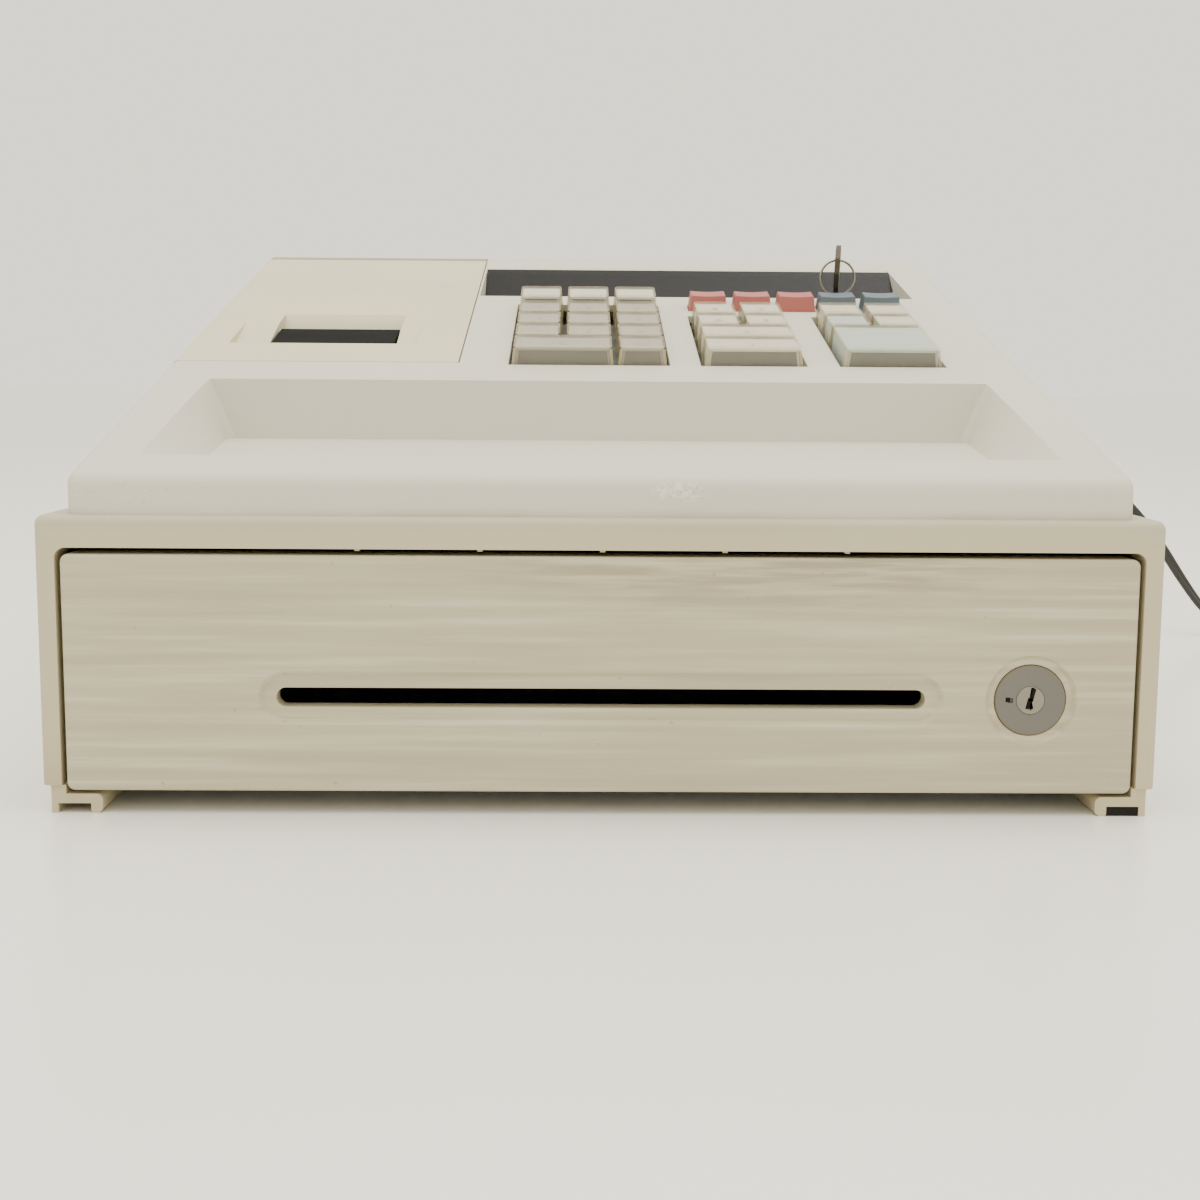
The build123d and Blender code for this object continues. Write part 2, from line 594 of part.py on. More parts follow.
def printer_frame():
    """Printer chassis: side plates, paper guide, motor, and the uprights of the cover hinge."""
    y_hinge, z_hinge = on_panel(COVER_S[1], -HINGE_DEPTH)
    left, right = -152.0, -68.0
    platen_y, platen_z = on_panel(*PLATEN)
    roll_y, roll_z = on_panel(*ROLL)
    floor = HOUSING_TOP
    guide_top = -2.3
    with BuildPart() as frame:
        block((left - 6, right + 6), (on_panel(150)[0], y_hinge + 6), (floor, floor + 2))
        for x in (left, right):
            outline = ((on_panel(152)[0], floor), on_panel(158, -16), on_panel(222, -16),
                       (on_panel(222)[0], floor))
            side_prism(outline, (x - 1, x + 1))
        # receipt guide that fills the front of the slot, and the plate behind the paper
        guide_x = (SLOT_X[0] + 1, SLOT_X[1] - 1)
        panel_block(guide_x, (165.5, 198), (guide_top - 2.6, guide_top))
        panel_block(guide_x, (166, 181), (-15, guide_top))
        panel_block((left, right), (164, 181), (-17, -14))
        panel_block(guide_x, (200.5, 203.5), (-30, -13.5))
        panel_block((left, right), (200.5, 203.5), (-34, -24))
        # motor on the left plate
        with BuildSketch(SIDE.offset(left + 1)):
            with Locations((175, -46)):
                Circle(13)
        extrude(amount=30)
        # end shields of the paper well, with stub holders for the roll's core
        for x, way in ((ROLL_X[0] - 3, 1), (ROLL_X[1] + 3, -1)):
            wall = sorted((x, x - way * 1.6))
            side_prism(((roll_y - 26, floor), (roll_y - 12, roll_z + 10), (roll_y + 12, roll_z + 10),
                        (roll_y + 26, floor)), wall)
            stub = sorted((x, x + way * 10))
            with BuildSketch(Plane.YZ.offset(stub[0])):
                with Locations((roll_y, roll_z)):
                    Circle(5.4)
            extrude(amount=stub[1] - stub[0])
        # uprights and hinge hubs
        for x in UPRIGHTS:
            span = (x - 1.5, x + 1.5)
            block(span, (y_hinge - 2.2, y_hinge + 1.5), (floor, z_hinge))
            with BuildSketch(Plane.YZ.offset(span[0])):
                with Locations((y_hinge, z_hinge)):
                    Circle(3.1)
            extrude(amount=3)
            with BuildSketch(Plane.YZ.offset(span[0])):
                with Locations((y_hinge, z_hinge)):
                    Circle(PIN_R + RUNNING)
            extrude(amount=3, mode=Mode.SUBTRACT)
        # bearings of the platen shaft
        with BuildSketch(Plane.YZ.offset(left - 2)):
            with Locations((platen_y, platen_z)):
                Circle(2.0 + RUNNING)
        extrude(amount=right - left + 4, mode=Mode.SUBTRACT)
        # room for the platen between the plates
        with BuildSketch(Plane.YZ.offset(left + 1)):
            with Locations((platen_y, platen_z)):
                Circle(PLATEN_R + 0.8)
        extrude(amount=right - left - 2, mode=Mode.SUBTRACT)
    save(frame, "printer_frame")


def platen_roller():
    y, z = on_panel(*PLATEN)
    with BuildPart() as platen:
        for radius, x in ((2.0, (-158, -62)), (PLATEN_R, (-149, -71)), (7.5, (-61.9, -57.5))):
            with BuildSketch(Plane.YZ.offset(x[0])):
                with Locations((y, z)):
                    Circle(radius)
            extrude(amount=x[1] - x[0])
        with BuildSketch(Plane.YZ.offset(-62)):
            with Locations((y, z)):
                Circle(2.0)
        extrude(amount=1)
    save(platen, "platen_roller")


def paper_roll():
    y, z = on_panel(*ROLL)
    with BuildPart() as roll:
        with BuildSketch(Plane.YZ.offset(ROLL_X[0])):
            with Locations((y, z)):
                Circle(ROLL_R)
                Circle(6.0, mode=Mode.SUBTRACT)
        extrude(amount=ROLL_X[1] - ROLL_X[0])
    save(roll, "paper_roll")


# ---------------------------------------------------------------- electronics
def contact_sheet():
    with BuildPart() as sheet:
        panel_block((-48, 155), (115, 254), (-SHEET_DEPTH - 1.0, -SHEET_DEPTH))
        for x in (-44, 151):
            for s in (120, 250):
                panel_block((x - 4, x + 4), (s - 4, s + 4), (-20, 0), mode=Mode.SUBTRACT)
        with BuildSketch(PANEL.offset(-20)):
            with Locations((MODE_X, MODE_S)):
                Circle(8)
        extrude(amount=20, mode=Mode.SUBTRACT)
    save(sheet, "key_contact_sheet")


def main_board():
    top = -SHEET_DEPTH - 1.0
    with BuildPart() as board:
        panel_block((-48, 155), (115, 254), (top - 1.6, top))
        for x in (-44, 151):
            for s in (120, 250):
                panel_block((x - 4, x + 4), (s - 4, s + 4), (top - 1.4 - 0.2, top + 0.1),
                            mode=Mode.SUBTRACT)
        with BuildSketch(PANEL.offset(top - 3)):
            with Locations((MODE_X, MODE_S)):
                Circle(8)
        extrude(amount=4, mode=Mode.SUBTRACT)
        # processor and regulators on the underside
        panel_block((20, 44), (170, 194), (top - 5, top - 1.5))
        for x in (70, 92, 114):
            panel_block((x, x + 10), (150, 166), (top - 9, top - 1.5))
    save(board, "main_board")


def transformer():
    with BuildPart() as core:
        block((84, 150), (100, 152), (HOUSING_TOP, HOUSING_TOP + 2))
        block((90, 144), (104, 148), (HOUSING_TOP + 2, HOUSING_TOP + 40))
        block((98, 136), (98, 154), (HOUSING_TOP + 8, HOUSING_TOP + 34))
    save(core, "transformer")


def popup_display():
    with BuildPart() as head:
        gap = 0.6
        block((POPUP_X[0] + gap, POPUP_X[1] - gap), (POPUP_Y[0] + gap, POPUP_Y[1] - gap),
              (POPUP_TOP - 40, POPUP_TOP))
        fillet(head.edges().filter_by(Axis.X).group_by(Axis.Z)[-1], 3)
        fillet(head.edges().filter_by(Axis.Z), 1.5)
        # recess for the window that faces the customer
        block((POPUP_X[0] + 10, POPUP_X[1] - 10), (POPUP_Y[1] - gap - 1.2, POPUP_Y[1] + 2),
              (POPUP_TOP - 30, POPUP_TOP - 8), mode=Mode.SUBTRACT)
        block((82, 100), (166, 180), (POPUP_TOP - 78, POPUP_TOP - 39.5))
    save(head, "popup_display")


# ---------------------------------------------------------------- mode switch
KEY_HOLE_H = 19.4             # centre of the key bow's hole above the panel
RING_R = 7.9
WIRE_R = 0.65


def mode_rotor():
    with BuildPart() as rotor:
        with BuildSketch(PANEL.offset(-9)):
            with Locations((MODE_X, MODE_S)):
                Circle(6.2)
        extrude(amount=9.4)
        with BuildSketch(PANEL.offset(-7)):
            with Locations((MODE_X, MODE_S)):
                Rectangle(2.5, 7.0, rotation=-10)
        extrude(amount=8, mode=Mode.SUBTRACT)
    save(rotor, "mode_rotor")


def mode_key():
    y, z = on_panel(MODE_S)
    turn = 10
    flat = Plane(origin=(MODE_X, y, z),
                 x_dir=Vector(0, cs, sn).rotate(Axis((0, 0, 0), (0, -sn, cs)), -turn),
                 z_dir=Vector(1, 0, 0).rotate(Axis((0, 0, 0), (0, -sn, cs)), -turn))
    with BuildPart() as key:
        with BuildSketch(flat.offset(-1.1)):
            with BuildLine():
                Polyline((-3.2, -6.6), (3.2, -6.6), (3.2, 6.5), (8.0, 9.0), (10.2, 15.0),
                         (8.6, 21.6), (4.0, 25.6), (-4.0, 25.6), (-8.6, 21.6), (-10.2, 15.0),
                         (-8.0, 9.0), (-3.2, 6.5), close=True)
            bow = make_face()
            fillet(bow.vertices().group_by(Axis.Z)[-1], 2.5)
            with Locations((0, KEY_HOLE_H)):
                Circle(2.6, mode=Mode.SUBTRACT)
        extrude(amount=2.2)
    save(key, "mode_key")


def key_ring():
    y, z = on_panel(MODE_S, KEY_HOLE_H)
    with BuildPart() as ring:
        with Locations(Plane(origin=(MODE_X, y, z - RING_R), z_dir=(0, 1, 0))):
            Torus(RING_R, WIRE_R)
    save(ring, "key_ring")


# ---------------------------------------------------------------- keys
def make_key(name, x, s, width, height=KEY_HEIGHT):
    """One key: a skirt through the panel and a tapered top with a shallow cylindrical dish."""
    middle, deep = centred(*s)
    draw = 0.8
    with BuildPart() as key:
        with BuildSketch(PANEL.offset(-KEY_SKIRT)):
            with Locations((x, middle)):
                Rectangle(width, deep)
        extrude(amount=KEY_SKIRT)
        with BuildSketch(PANEL) as root:
            with Locations((x, middle)):
                Rectangle(width, deep)
        with BuildSketch(PANEL.offset(height)) as top:
            with Locations((x, middle)):
                Rectangle(width - 2 * draw, deep - 2 * draw)
        loft([root.sketch, top.sketch])
        fillet(key.faces().sort_by(Axis.Z)[-1].edges(), 0.7)
        radius = width * width / 5.0
        with Locations(Plane(origin=(x, *on_panel(middle, height + radius - 0.55)),
                             z_dir=(0, cs, sn))):
            Cylinder(radius, deep + 4, mode=Mode.SUBTRACT)
    save(key, name)


def keyboard():
    for row in range(1, 5):
        for column, x in enumerate(LEFT_COLUMNS, start=1):
            tall = KEY_HEIGHT + (1.8 if row == 4 else 0)
            make_key(f"key_number_r{5 - row}c{column}", x, row_span(row), LEFT_KEY, tall)
    wide = LEFT_COLUMNS[1] - LEFT_COLUMNS[0] + LEFT_KEY
    make_key("key_number_wide", (LEFT_COLUMNS[0] + LEFT_COLUMNS[1]) / 2, row_span(0), wide)
    make_key("key_number_corner", LEFT_COLUMNS[2], row_span(0), LEFT_KEY)
    pair = 2 * PAIR_PITCH - KEY_GAP
    for row in (2, 3):
        for column, way in enumerate((-0.5, 0.5), start=1):
            narrow = PAIR_PITCH - KEY_GAP
            make_key(f"key_department_r{row}c{column}", MIDDLE_X + way * PAIR_PITCH,
                     row_span(row), narrow)
            make_key(f"key_tender_r{row}c{column}", RIGHT_X + way * PAIR_PITCH,
                     row_span(row), narrow)
    for row in (0, 1):
        make_key(f"key_department_bar_{row + 1}", MIDDLE_X, row_span(row), pair)
    make_key("key_total", RIGHT_X, row_span(0, rows=2), pair)
    for k, x in enumerate(TOP_ROW_X, start=1):
        make_key(f"key_function_{k}", x, TOP_ROW_S, 17.0, 7.0)


# ---------------------------------------------------------------- mains lead
BOOT = 32.0
LEAD_START = CASE_HALF + 2.5 + BOOT
LEAD_Z = CORD_WIDTH / 2
LEAD_ROUTE = (
    (LEAD_START, EXIT_Y, EXIT_Z), (222.0, 174.2, 116.4), (246.0, 174.8, 109.6),
    (270.0, 175.8, 96.2), (292.0, 176.8, 77.6), (311.0, 177.6, 54.6), (326.0, 177.4, 30.8),
    (340.0, 175.4, 11.0), (358.0, 168.4, 2.6), (378.0, 155.8, 3.4), (401.0, 149.0, 2.6))
PLUG_START = (COIL_CENTRE[0] + 43.0, COIL_CENTRE[1] + 33.0)


def bend_radii(points):
    """Radius of each corner: 0.45 of its shorter run over the tangent of half its turn."""
    radii = []
    for before, corner, after in zip(points, points[1:], points[2:]):
        one, two = Vector(*corner) - Vector(*before), Vector(*after) - Vector(*corner)
        turn = radians(one.get_angle(two))
        radii.append(0.45 * min(one.length, two.length) / tan(turn / 2))
    return radii


def strain_relief():
    with BuildPart() as boot:
        with BuildSketch(Plane.YZ.offset(CASE_HALF)):
            with Locations((EXIT_Y, EXIT_Z)):
                Circle(8.0)
        extrude(amount=2.5)
        with BuildSketch(Plane.YZ.offset(CASE_HALF)):
            with Locations((EXIT_Y, EXIT_Z)):
                Circle(4.9)
        extrude(amount=-WALL - 6)
        with BuildSketch(Plane.YZ.offset(CASE_HALF + 2.5)) as wide:
            with Locations((EXIT_Y, EXIT_Z)):
                Circle(5.6)
        with BuildSketch(Plane.YZ.offset(LEAD_START)) as narrow:
            with Locations((EXIT_Y, EXIT_Z)):
                Circle(3.6)
        loft([wide.sketch, narrow.sketch])
    save(boot, "strain_relief")


def mains_lead():
    radii = bend_radii(LEAD_ROUTE)
    print("cord bend radii, mm:", ", ".join(f"{r:.0f}" for r in radii))
    with BuildPart() as lead:
        with BuildLine() as route:
            FilletPolyline(*LEAD_ROUTE, radius=radii)
        path = route.wire()
        with BuildSketch(Plane(origin=path @ 0, z_dir=path % 0)):
            Circle(CORD_WIDTH / 2)
        sweep(path=path)
        swept = lead.part.volume
        print("cord tube volume / section times length:",
              round(swept / (pi * (CORD_WIDTH / 2) ** 2 * path.length), 4),
              " length", round(path.length))
        # the tail from the coil to the plug
        with BuildSketch(Plane.XZ.offset(-COIL_CENTRE[1] - 6)):
            with Locations((PLUG_START[0], LEAD_Z)):
                Circle(CORD_WIDTH / 2)
        extrude(amount=-(PLUG_START[1] - COIL_CENTRE[1] - 6))
    save(lead, "mains_lead")


def lead_coil():
    inner, outer = COIL_RADII
    with BuildPart() as coil:
        with BuildSketch():
            with Locations(COIL_CENTRE):
                Circle(outer)
                Circle(inner, mode=Mode.SUBTRACT)
        extrude(amount=COIL_HEIGHT)
        fillet(coil.edges().filter_by(GeomType.CIRCLE), 1.6)
    save(coil, "lead_coil")


def mains_plug():
    x, y = PLUG_START
    with BuildPart() as plug:
        with BuildSketch(Plane.XZ.offset(-y)) as neck:
            with Locations((x, 5.2)):
                RectangleRounded(9, 7, 3)
        with BuildSketch(Plane.XZ.offset(-y - 10)) as shoulder:
            with Locations((x, 6.0)):
                RectangleRounded(22, 12, 4)
        loft([neck.sketch, shoulder.sketch])
        with BuildSketch(Plane.XZ.offset(-y - 10)):
            with Locations((x, 6.0)):
                RectangleRounded(22, 12, 4)
        extrude(amount=-14)
        # flat blades
        for side in (-1, 1):
            blade = sorted((x + side * 5.6, x + side * 7.1))
            block(blade, (y + 23, y + 41), (2.9, 9.1))
    save(plug, "mains_plug")


def main():
    drawer_housing()
    foot_rails()
    rubber_pads()
    base_plate()
    drawer_latch()
    drawer_front()
    drawer_pan()
    cash_tray()
    for name, x in zip(("bill_clip_left", "bill_clip_middle", "bill_clip_right"),
                       cell_spans(BILL_BAYS)):
        bill_clip(name, x)
    lock_case()
    lock_plug()
    upper_case()
    display_window()
    printer_cover()
    printer_frame()
    platen_roller()
    paper_roll()
    contact_sheet()
    main_board()
    transformer()
    popup_display()
    mode_rotor()
    mode_key()
    key_ring()
    keyboard()
    strain_relief()
    mains_lead()
    lead_coil()
    mains_plug()


main()
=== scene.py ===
"""Looks of the cash register: materials, keys, display, mains lead, floor and light."""
import json
from math import cos, pi, radians, sin

import bmesh
import bpy
from mathutils import Matrix, Vector


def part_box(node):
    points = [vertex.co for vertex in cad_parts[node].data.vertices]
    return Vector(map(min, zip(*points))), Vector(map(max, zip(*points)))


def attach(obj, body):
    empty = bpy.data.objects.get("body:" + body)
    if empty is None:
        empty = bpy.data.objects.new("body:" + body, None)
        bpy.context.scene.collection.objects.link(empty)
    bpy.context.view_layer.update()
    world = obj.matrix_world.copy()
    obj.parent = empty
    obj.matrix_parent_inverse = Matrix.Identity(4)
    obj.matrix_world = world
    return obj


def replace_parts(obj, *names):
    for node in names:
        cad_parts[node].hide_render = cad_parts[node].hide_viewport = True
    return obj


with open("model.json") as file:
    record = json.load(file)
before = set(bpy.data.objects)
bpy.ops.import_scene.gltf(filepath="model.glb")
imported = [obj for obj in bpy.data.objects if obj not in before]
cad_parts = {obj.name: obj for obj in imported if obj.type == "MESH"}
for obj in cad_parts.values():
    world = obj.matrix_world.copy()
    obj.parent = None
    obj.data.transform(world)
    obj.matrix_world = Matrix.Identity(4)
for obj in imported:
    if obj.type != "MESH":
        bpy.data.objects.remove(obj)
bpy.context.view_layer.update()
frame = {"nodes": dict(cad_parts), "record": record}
NODES = frame["nodes"]
MM = 0.001
SLOT_Z = 37.6 * MM                 # centre height of the media slot and the lock

# Sloping panel: s runs up it from the front edge, h stands off it.
SLOPE = radians(14.4)
PANEL_ORIGIN = Vector((0, -193.1 * MM, 111.7 * MM))
ALONG = Vector((0, cos(SLOPE), sin(SLOPE)))
OFF = Vector((0, -sin(SLOPE), cos(SLOPE)))


def on_panel(x, s, h=0.0):
    return PANEL_ORIGIN + Vector((x, 0, 0)) + ALONG * s + OFF * h


def panel_span(node):
    """Extents of a CAD node across, along and off the sloping panel."""
    rows = [v.co - PANEL_ORIGIN for v in NODES[node].data.vertices]
    return [(min(values), max(values)) for values in
            zip(*((p.x, p.dot(ALONG), p.dot(OFF)) for p in rows))]


# ---------------------------------------------------------------- camera
def look(place, yaw, pitch, roll, lens):
    """A camera turned yaw to the right of +Y, pitch down, and roll clockwise, in degrees."""
    yaw, pitch, roll = radians(yaw), radians(pitch), radians(roll)
    ahead = Vector((sin(yaw) * cos(pitch), cos(yaw) * cos(pitch), -sin(pitch)))
    level = Vector((cos(yaw), -sin(yaw), 0))
    above = level.cross(ahead)
    right = cos(roll) * level + sin(roll) * above
    up = cos(roll) * above - sin(roll) * level
    data = bpy.data.cameras.new("camera")
    data.lens, data.sensor_width = lens, 36.0
    data.clip_start, data.clip_end = 0.01, 50.0
    camera = bpy.data.objects.new("camera", data)
    bpy.context.scene.collection.objects.link(camera)
    turn = Matrix((right, up, -ahead)).transposed().to_4x4()
    camera.matrix_world = Matrix.Translation(place) @ turn
    bpy.context.scene.camera = camera


look(Vector((-8, -731, 138)) * MM, yaw=0.80, pitch=7.54, roll=0.40, lens=50.0)


# ---------------------------------------------------------------- materials
class Finish:
    """A Principled material whose layers are worked out in object space, which is the row frame."""

    def __init__(self, name, colour, roughness=0.5, metallic=0.0, alpha=1.0, specular=0.5):
        self.material = bpy.data.materials.new(name)
        self.material.use_nodes = True
        self.tree = self.material.node_tree
        self.shader = self.tree.nodes["Principled BSDF"]
        self.shader.inputs["Roughness"].default_value = roughness
        self.shader.inputs["Metallic"].default_value = metallic
        self.shader.inputs["Alpha"].default_value = alpha
        self.shader.inputs["Specular IOR Level"].default_value = specular
        self.colour = (*colour, 1.0)
        self.height = None
        self.place = self.node("ShaderNodeTexCoord").outputs["Object"]

    def node(self, kind, values=None, **settings):
        made = self.tree.nodes.new(kind)
        for key, value in settings.items():
            setattr(made, key, value)
        for key, value in (values or {}).items():
            self.feed(value, made.inputs[key])
        return made

    def feed(self, value, socket):
        if isinstance(value, bpy.types.NodeSocket):
            self.tree.links.new(value, socket)
        else:
            socket.default_value = value

    def math(self, operation, a, b=0.0):
        return self.node("ShaderNodeMath", {0: a, 1: b}, operation=operation).outputs[0]

    def axis(self, name):
        return self.node("ShaderNodeSeparateXYZ", {0: self.place}).outputs[name]

    def noise(self, size, stretch=(1, 1, 1), detail=3.0, shift=0.0):
        """Noise from 0 to 1 with features of that size in mm, stretched along the axes."""
        scaled = self.node("ShaderNodeMapping", {
            "Vector": self.place, "Location": (shift, shift * 1.7, shift * 0.6),
            "Scale": [1 / (size * MM * k) for k in stretch]})
        made = self.node("ShaderNodeTexNoise",
                         {"Vector": scaled.outputs[0], "Scale": 1.0, "Detail": detail})
        return made.outputs["Fac"]

    def ramp(self, value, low, high):
        """0 where value is under low, 1 where it is over high, smooth between; either way round."""
        flip = low > high
        made = self.node("ShaderNodeMapRange", {
            "Value": value, "From Min": min(low, high), "From Max": max(low, high),
            "To Min": 1.0 if flip else 0.0, "To Max": 0.0 if flip else 1.0},
            interpolation_type="SMOOTHSTEP")
        return made.outputs[0]

    def near(self, centre, radii, sharp=0.4):
        """1 inside an ellipsoid, in mm, fading to 0 at its skin."""
        moved = self.node("ShaderNodeVectorMath", {
            0: self.place, 1: [c * MM for c in centre]}, operation="SUBTRACT")
        scaled = self.node("ShaderNodeVectorMath", {
            0: moved.outputs[0], 1: [1 / (r * MM) for r in radii]}, operation="MULTIPLY")
        away = self.node("ShaderNodeVectorMath", {0: scaled.outputs[0]}, operation="LENGTH")
        return self.ramp(away.outputs["Value"], 1.0, sharp)

    def all(self, *masks):
        result = masks[0]
        for mask in masks[1:]:
            result = self.math("MULTIPLY", result, mask)
        return result

    def tint(self, mask, colour, amount=1.0):
        """Lays a colour over what is there, as far as the mask says."""
        share = mask if amount == 1.0 else self.math("MULTIPLY", mask, amount)
        mixed = self.node("ShaderNodeMix", {0: share, 6: self.colour, 7: (*colour, 1.0)},
                          data_type="RGBA")
        self.colour = mixed.outputs[2]
        return self

    def bump(self, value, depth):
        """Adds relief of that depth in mm."""
        scaled = self.math("MULTIPLY", value, depth * MM)
        self.height = scaled if self.height is None else self.math("ADD", self.height, scaled)
        return self

    def gloss(self, mask, roughness):
        """Roughness changes to that value where the mask is 1."""
        base = self.shader.inputs["Roughness"].default_value
        made = self.node("ShaderNodeMapRange",
                         {"Value": mask, "To Min": base, "To Max": roughness})
        self.tree.links.new(made.outputs[0], self.shader.inputs["Roughness"])
        return self

    def done(self):
        self.feed(self.colour, self.shader.inputs["Base Color"])
        if self.height is not None:
            relief = self.node("ShaderNodeBump",
                               {"Height": self.height, "Distance": 1.0, "Strength": 1.0})
            self.tree.links.new(relief.outputs["Normal"], self.shader.inputs["Normal"])
        return self.material


def darker(colour, share):
    return tuple(c * share for c in colour)


def moulded(name, colour, grain=0.45, depth=0.012, mottle=0.05, roughness=0.5, **more):
    """Moulded plastic: a spark-eroded grain, slow shifts of tone and a few fine specks."""
    f = Finish(name, colour, roughness, **more)
    f.tint(f.ramp(f.noise(70, shift=3), 0.35, 0.75), darker(colour, 1 - 2 * mottle))
    f.tint(f.ramp(f.noise(9, shift=7), 0.45, 0.8), darker(colour, 1 - mottle))
    f.tint(f.ramp(f.noise(1.1, detail=1, shift=11), 0.74, 0.80), darker(colour, 0.72), 0.5)
    f.bump(f.noise(grain, detail=2), depth)
    f.gloss(f.noise(14, shift=5), min(1.0, roughness + 0.12))
    return f


GRIME_AND_SHADE = (0.16, 0.12, 0.07)
YELLOWED = (0.56, 0.47, 0.27)


def housing_finish():
    f = moulded("housing_plastic", (0.465, 0.435, 0.31), mottle=0.03)
    side = f.math("ABSOLUTE", f.axis("X"))
    lip = f.ramp(f.axis("Y"), -0.196, -0.200)
    mouth = f.math("MAXIMUM", f.ramp(side, 0.1745, 0.1715),
                   f.all(f.ramp(f.axis("Z"), 0.0885, 0.0855), f.ramp(side, 0.1775, 0.176)))
    f.tint(f.all(lip, mouth, f.ramp(f.axis("Z"), 0.0925, 0.089)), YELLOWED, 0.45)
    # dust that has settled in front of the upper case, and painted shade, broken up by noise,
    # towards the bottom
    f.tint(f.all(f.ramp(f.axis("Z"), 0.0935, 0.095), f.ramp(f.noise(12, (4, 1, 1)), 0.4, 0.8)),
           (0.45, 0.40, 0.30), 0.5)
    # painted shade near the floor: darker towards the bottom
    f.tint(f.all(f.ramp(f.axis("Z"), 0.03, 0.009), f.ramp(f.noise(25), 0.4, 0.75)), GRIME_AND_SHADE, 0.2)
    return f.done()


def drawer_finish():
    base = (0.475, 0.435, 0.295)
    f = moulded("drawer_plastic", base, mottle=0.02)
    # wiping has left dirt in long level streaks, densest along the top and to the right
    broad = f.noise(3.0, (30, 1, 1), detail=4, shift=2)
    fine = f.noise(1.5, (24, 1, 1), detail=3, shift=9)
    f.tint(f.ramp(broad, 0.42, 0.75), darker(base, 0.86))
    f.tint(f.ramp(broad, 0.50, 0.28), (0.62, 0.585, 0.46), 0.5)
    f.tint(f.ramp(fine, 0.50, 0.75), darker(base, 0.82), 0.3)
    top = f.all(f.ramp(f.axis("Z"), 0.056, 0.080), f.near((50, -212, 80), (110, 60, 26), 0.4))
    f.tint(f.all(top, f.ramp(f.noise(2.2, (16, 1, 1), shift=4), 0.35, 0.62)), (0.30, 0.25, 0.17),
           0.75)
    right = f.all(f.ramp(f.axis("X"), 0.10, 0.168), f.ramp(broad, 0.36, 0.60))
    f.tint(right, (0.40, 0.34, 0.24), 0.5)
    f.tint(f.all(f.near((12, -212, 50), (70, 60, 22), 0.0), f.ramp(fine, 0.42, 0.62)),
           (0.42, 0.36, 0.25), 0.35)
    specks = f.noise(2.6, detail=0, shift=21)
    f.tint(f.ramp(specks, 0.82, 0.86), GRIME_AND_SHADE, 0.3)
    f.bump(fine, 0.01)
    return f.done()


def case_finish():
    base = (0.60, 0.58, 0.485)
    f = moulded("case_plastic", base, grain=0.6, depth=0.02, mottle=0.015, roughness=0.55)
    # dirt along the foot of the case, in the tray and along the lip
    low = f.all(f.ramp(f.axis("Z"), 0.0985, 0.0955), f.ramp(f.noise(20, (3, 1, 1)), 0.3, 0.7))
    f.tint(low, (0.42, 0.37, 0.27), 0.55)
    for x, size in ((-128, 16), (-104, 9), (52, 10), (72, 14), (118, 12)):
        spot = f.near((x, -172, 106.4), (size, 9, 3), 0.2)
        f.tint(f.all(spot, f.ramp(f.noise(2.0, (2, 1, 1), shift=x * 0.1), 0.50, 0.72)), GRIME_AND_SHADE, 0.3)
    for x, z in ((-161, 102), (-150, 104.5), (-139, 103), (-126, 104.2), (-146, 99)):
        spot = f.near((x, -209, z), (7, 6, 1.3), 0.2)
        f.tint(f.all(spot, f.ramp(f.noise(0.9, (2, 1, 1), shift=z), 0.50, 0.66)), GRIME_AND_SHADE, 0.22)
    # dried adhesive where a label has been pulled off the lip
    patch = f.all(f.near((24, -209, 103), (11, 9, 3.6), 0.55),
                  f.ramp(f.noise(1.5, (1.6, 1, 1), shift=8), 0.44, 0.54))
    f.tint(patch, (0.80, 0.74, 0.60), 0.75)
    f.tint(f.all(f.near((24, -209, 103), (12, 9, 4.2), 0.5),
                 f.ramp(f.noise(0.8, shift=15), 0.60, 0.68)), (0.34, 0.27, 0.16), 0.6)
    f.bump(patch, 0.12)
    return f.done()


def cover_finish():
    base = (0.61, 0.57, 0.39)
    f = moulded("cover_plastic", base, grain=0.6, depth=0.016, mottle=0.02, roughness=0.5)
    f.tint(f.near((-160, -60, 140), (30, 120, 60), 0.0), (0.66, 0.60, 0.45), 0.5)
    f.tint(f.all(f.near((-104, 10, 152), (40, 26, 26), 0.3), f.ramp(f.noise(16), 0.4, 0.7)),
           (0.62, 0.55, 0.40), 0.4)
    scuff = f.all(f.near((-72, 80, 182), (7, 16, 9), 0.2), f.ramp(f.noise(1.6, shift=6), 0.45, 0.6))
    f.tint(scuff, (0.50, 0.47, 0.40), 0.6)
    return f.done()


def simple_finish(name, colour, **more):
    return moulded(name, colour, **more).done()


def brushed(name, colour, roughness, stretch, size=0.5):
    f = Finish(name, colour, roughness, metallic=1.0)
    f.tint(f.ramp(f.noise(22, shift=2), 0.35, 0.7), darker(colour, 0.82))
    f.bump(f.noise(size, stretch, detail=2), 0.006)
    f.gloss(f.noise(6, shift=4), min(1.0, roughness + 0.2))
    return f.done()


def zinc_finish():
    """Galvanised sheet with its spangle."""
    f = Finish("sheet_steel", (0.56, 0.57, 0.58), 0.38, metallic=1.0)
    cells = f.node("ShaderNodeTexVoronoi", {"Vector": f.place, "Scale": 160.0})
    tone = f.node("ShaderNodeSeparateColor", {0: cells.outputs["Color"]}).outputs[0]
    f.tint(f.ramp(tone, 0.2, 0.8), (0.42, 0.43, 0.45))
    f.gloss(tone, 0.55)
    return f.bump(f.noise(0.8), 0.004).done()


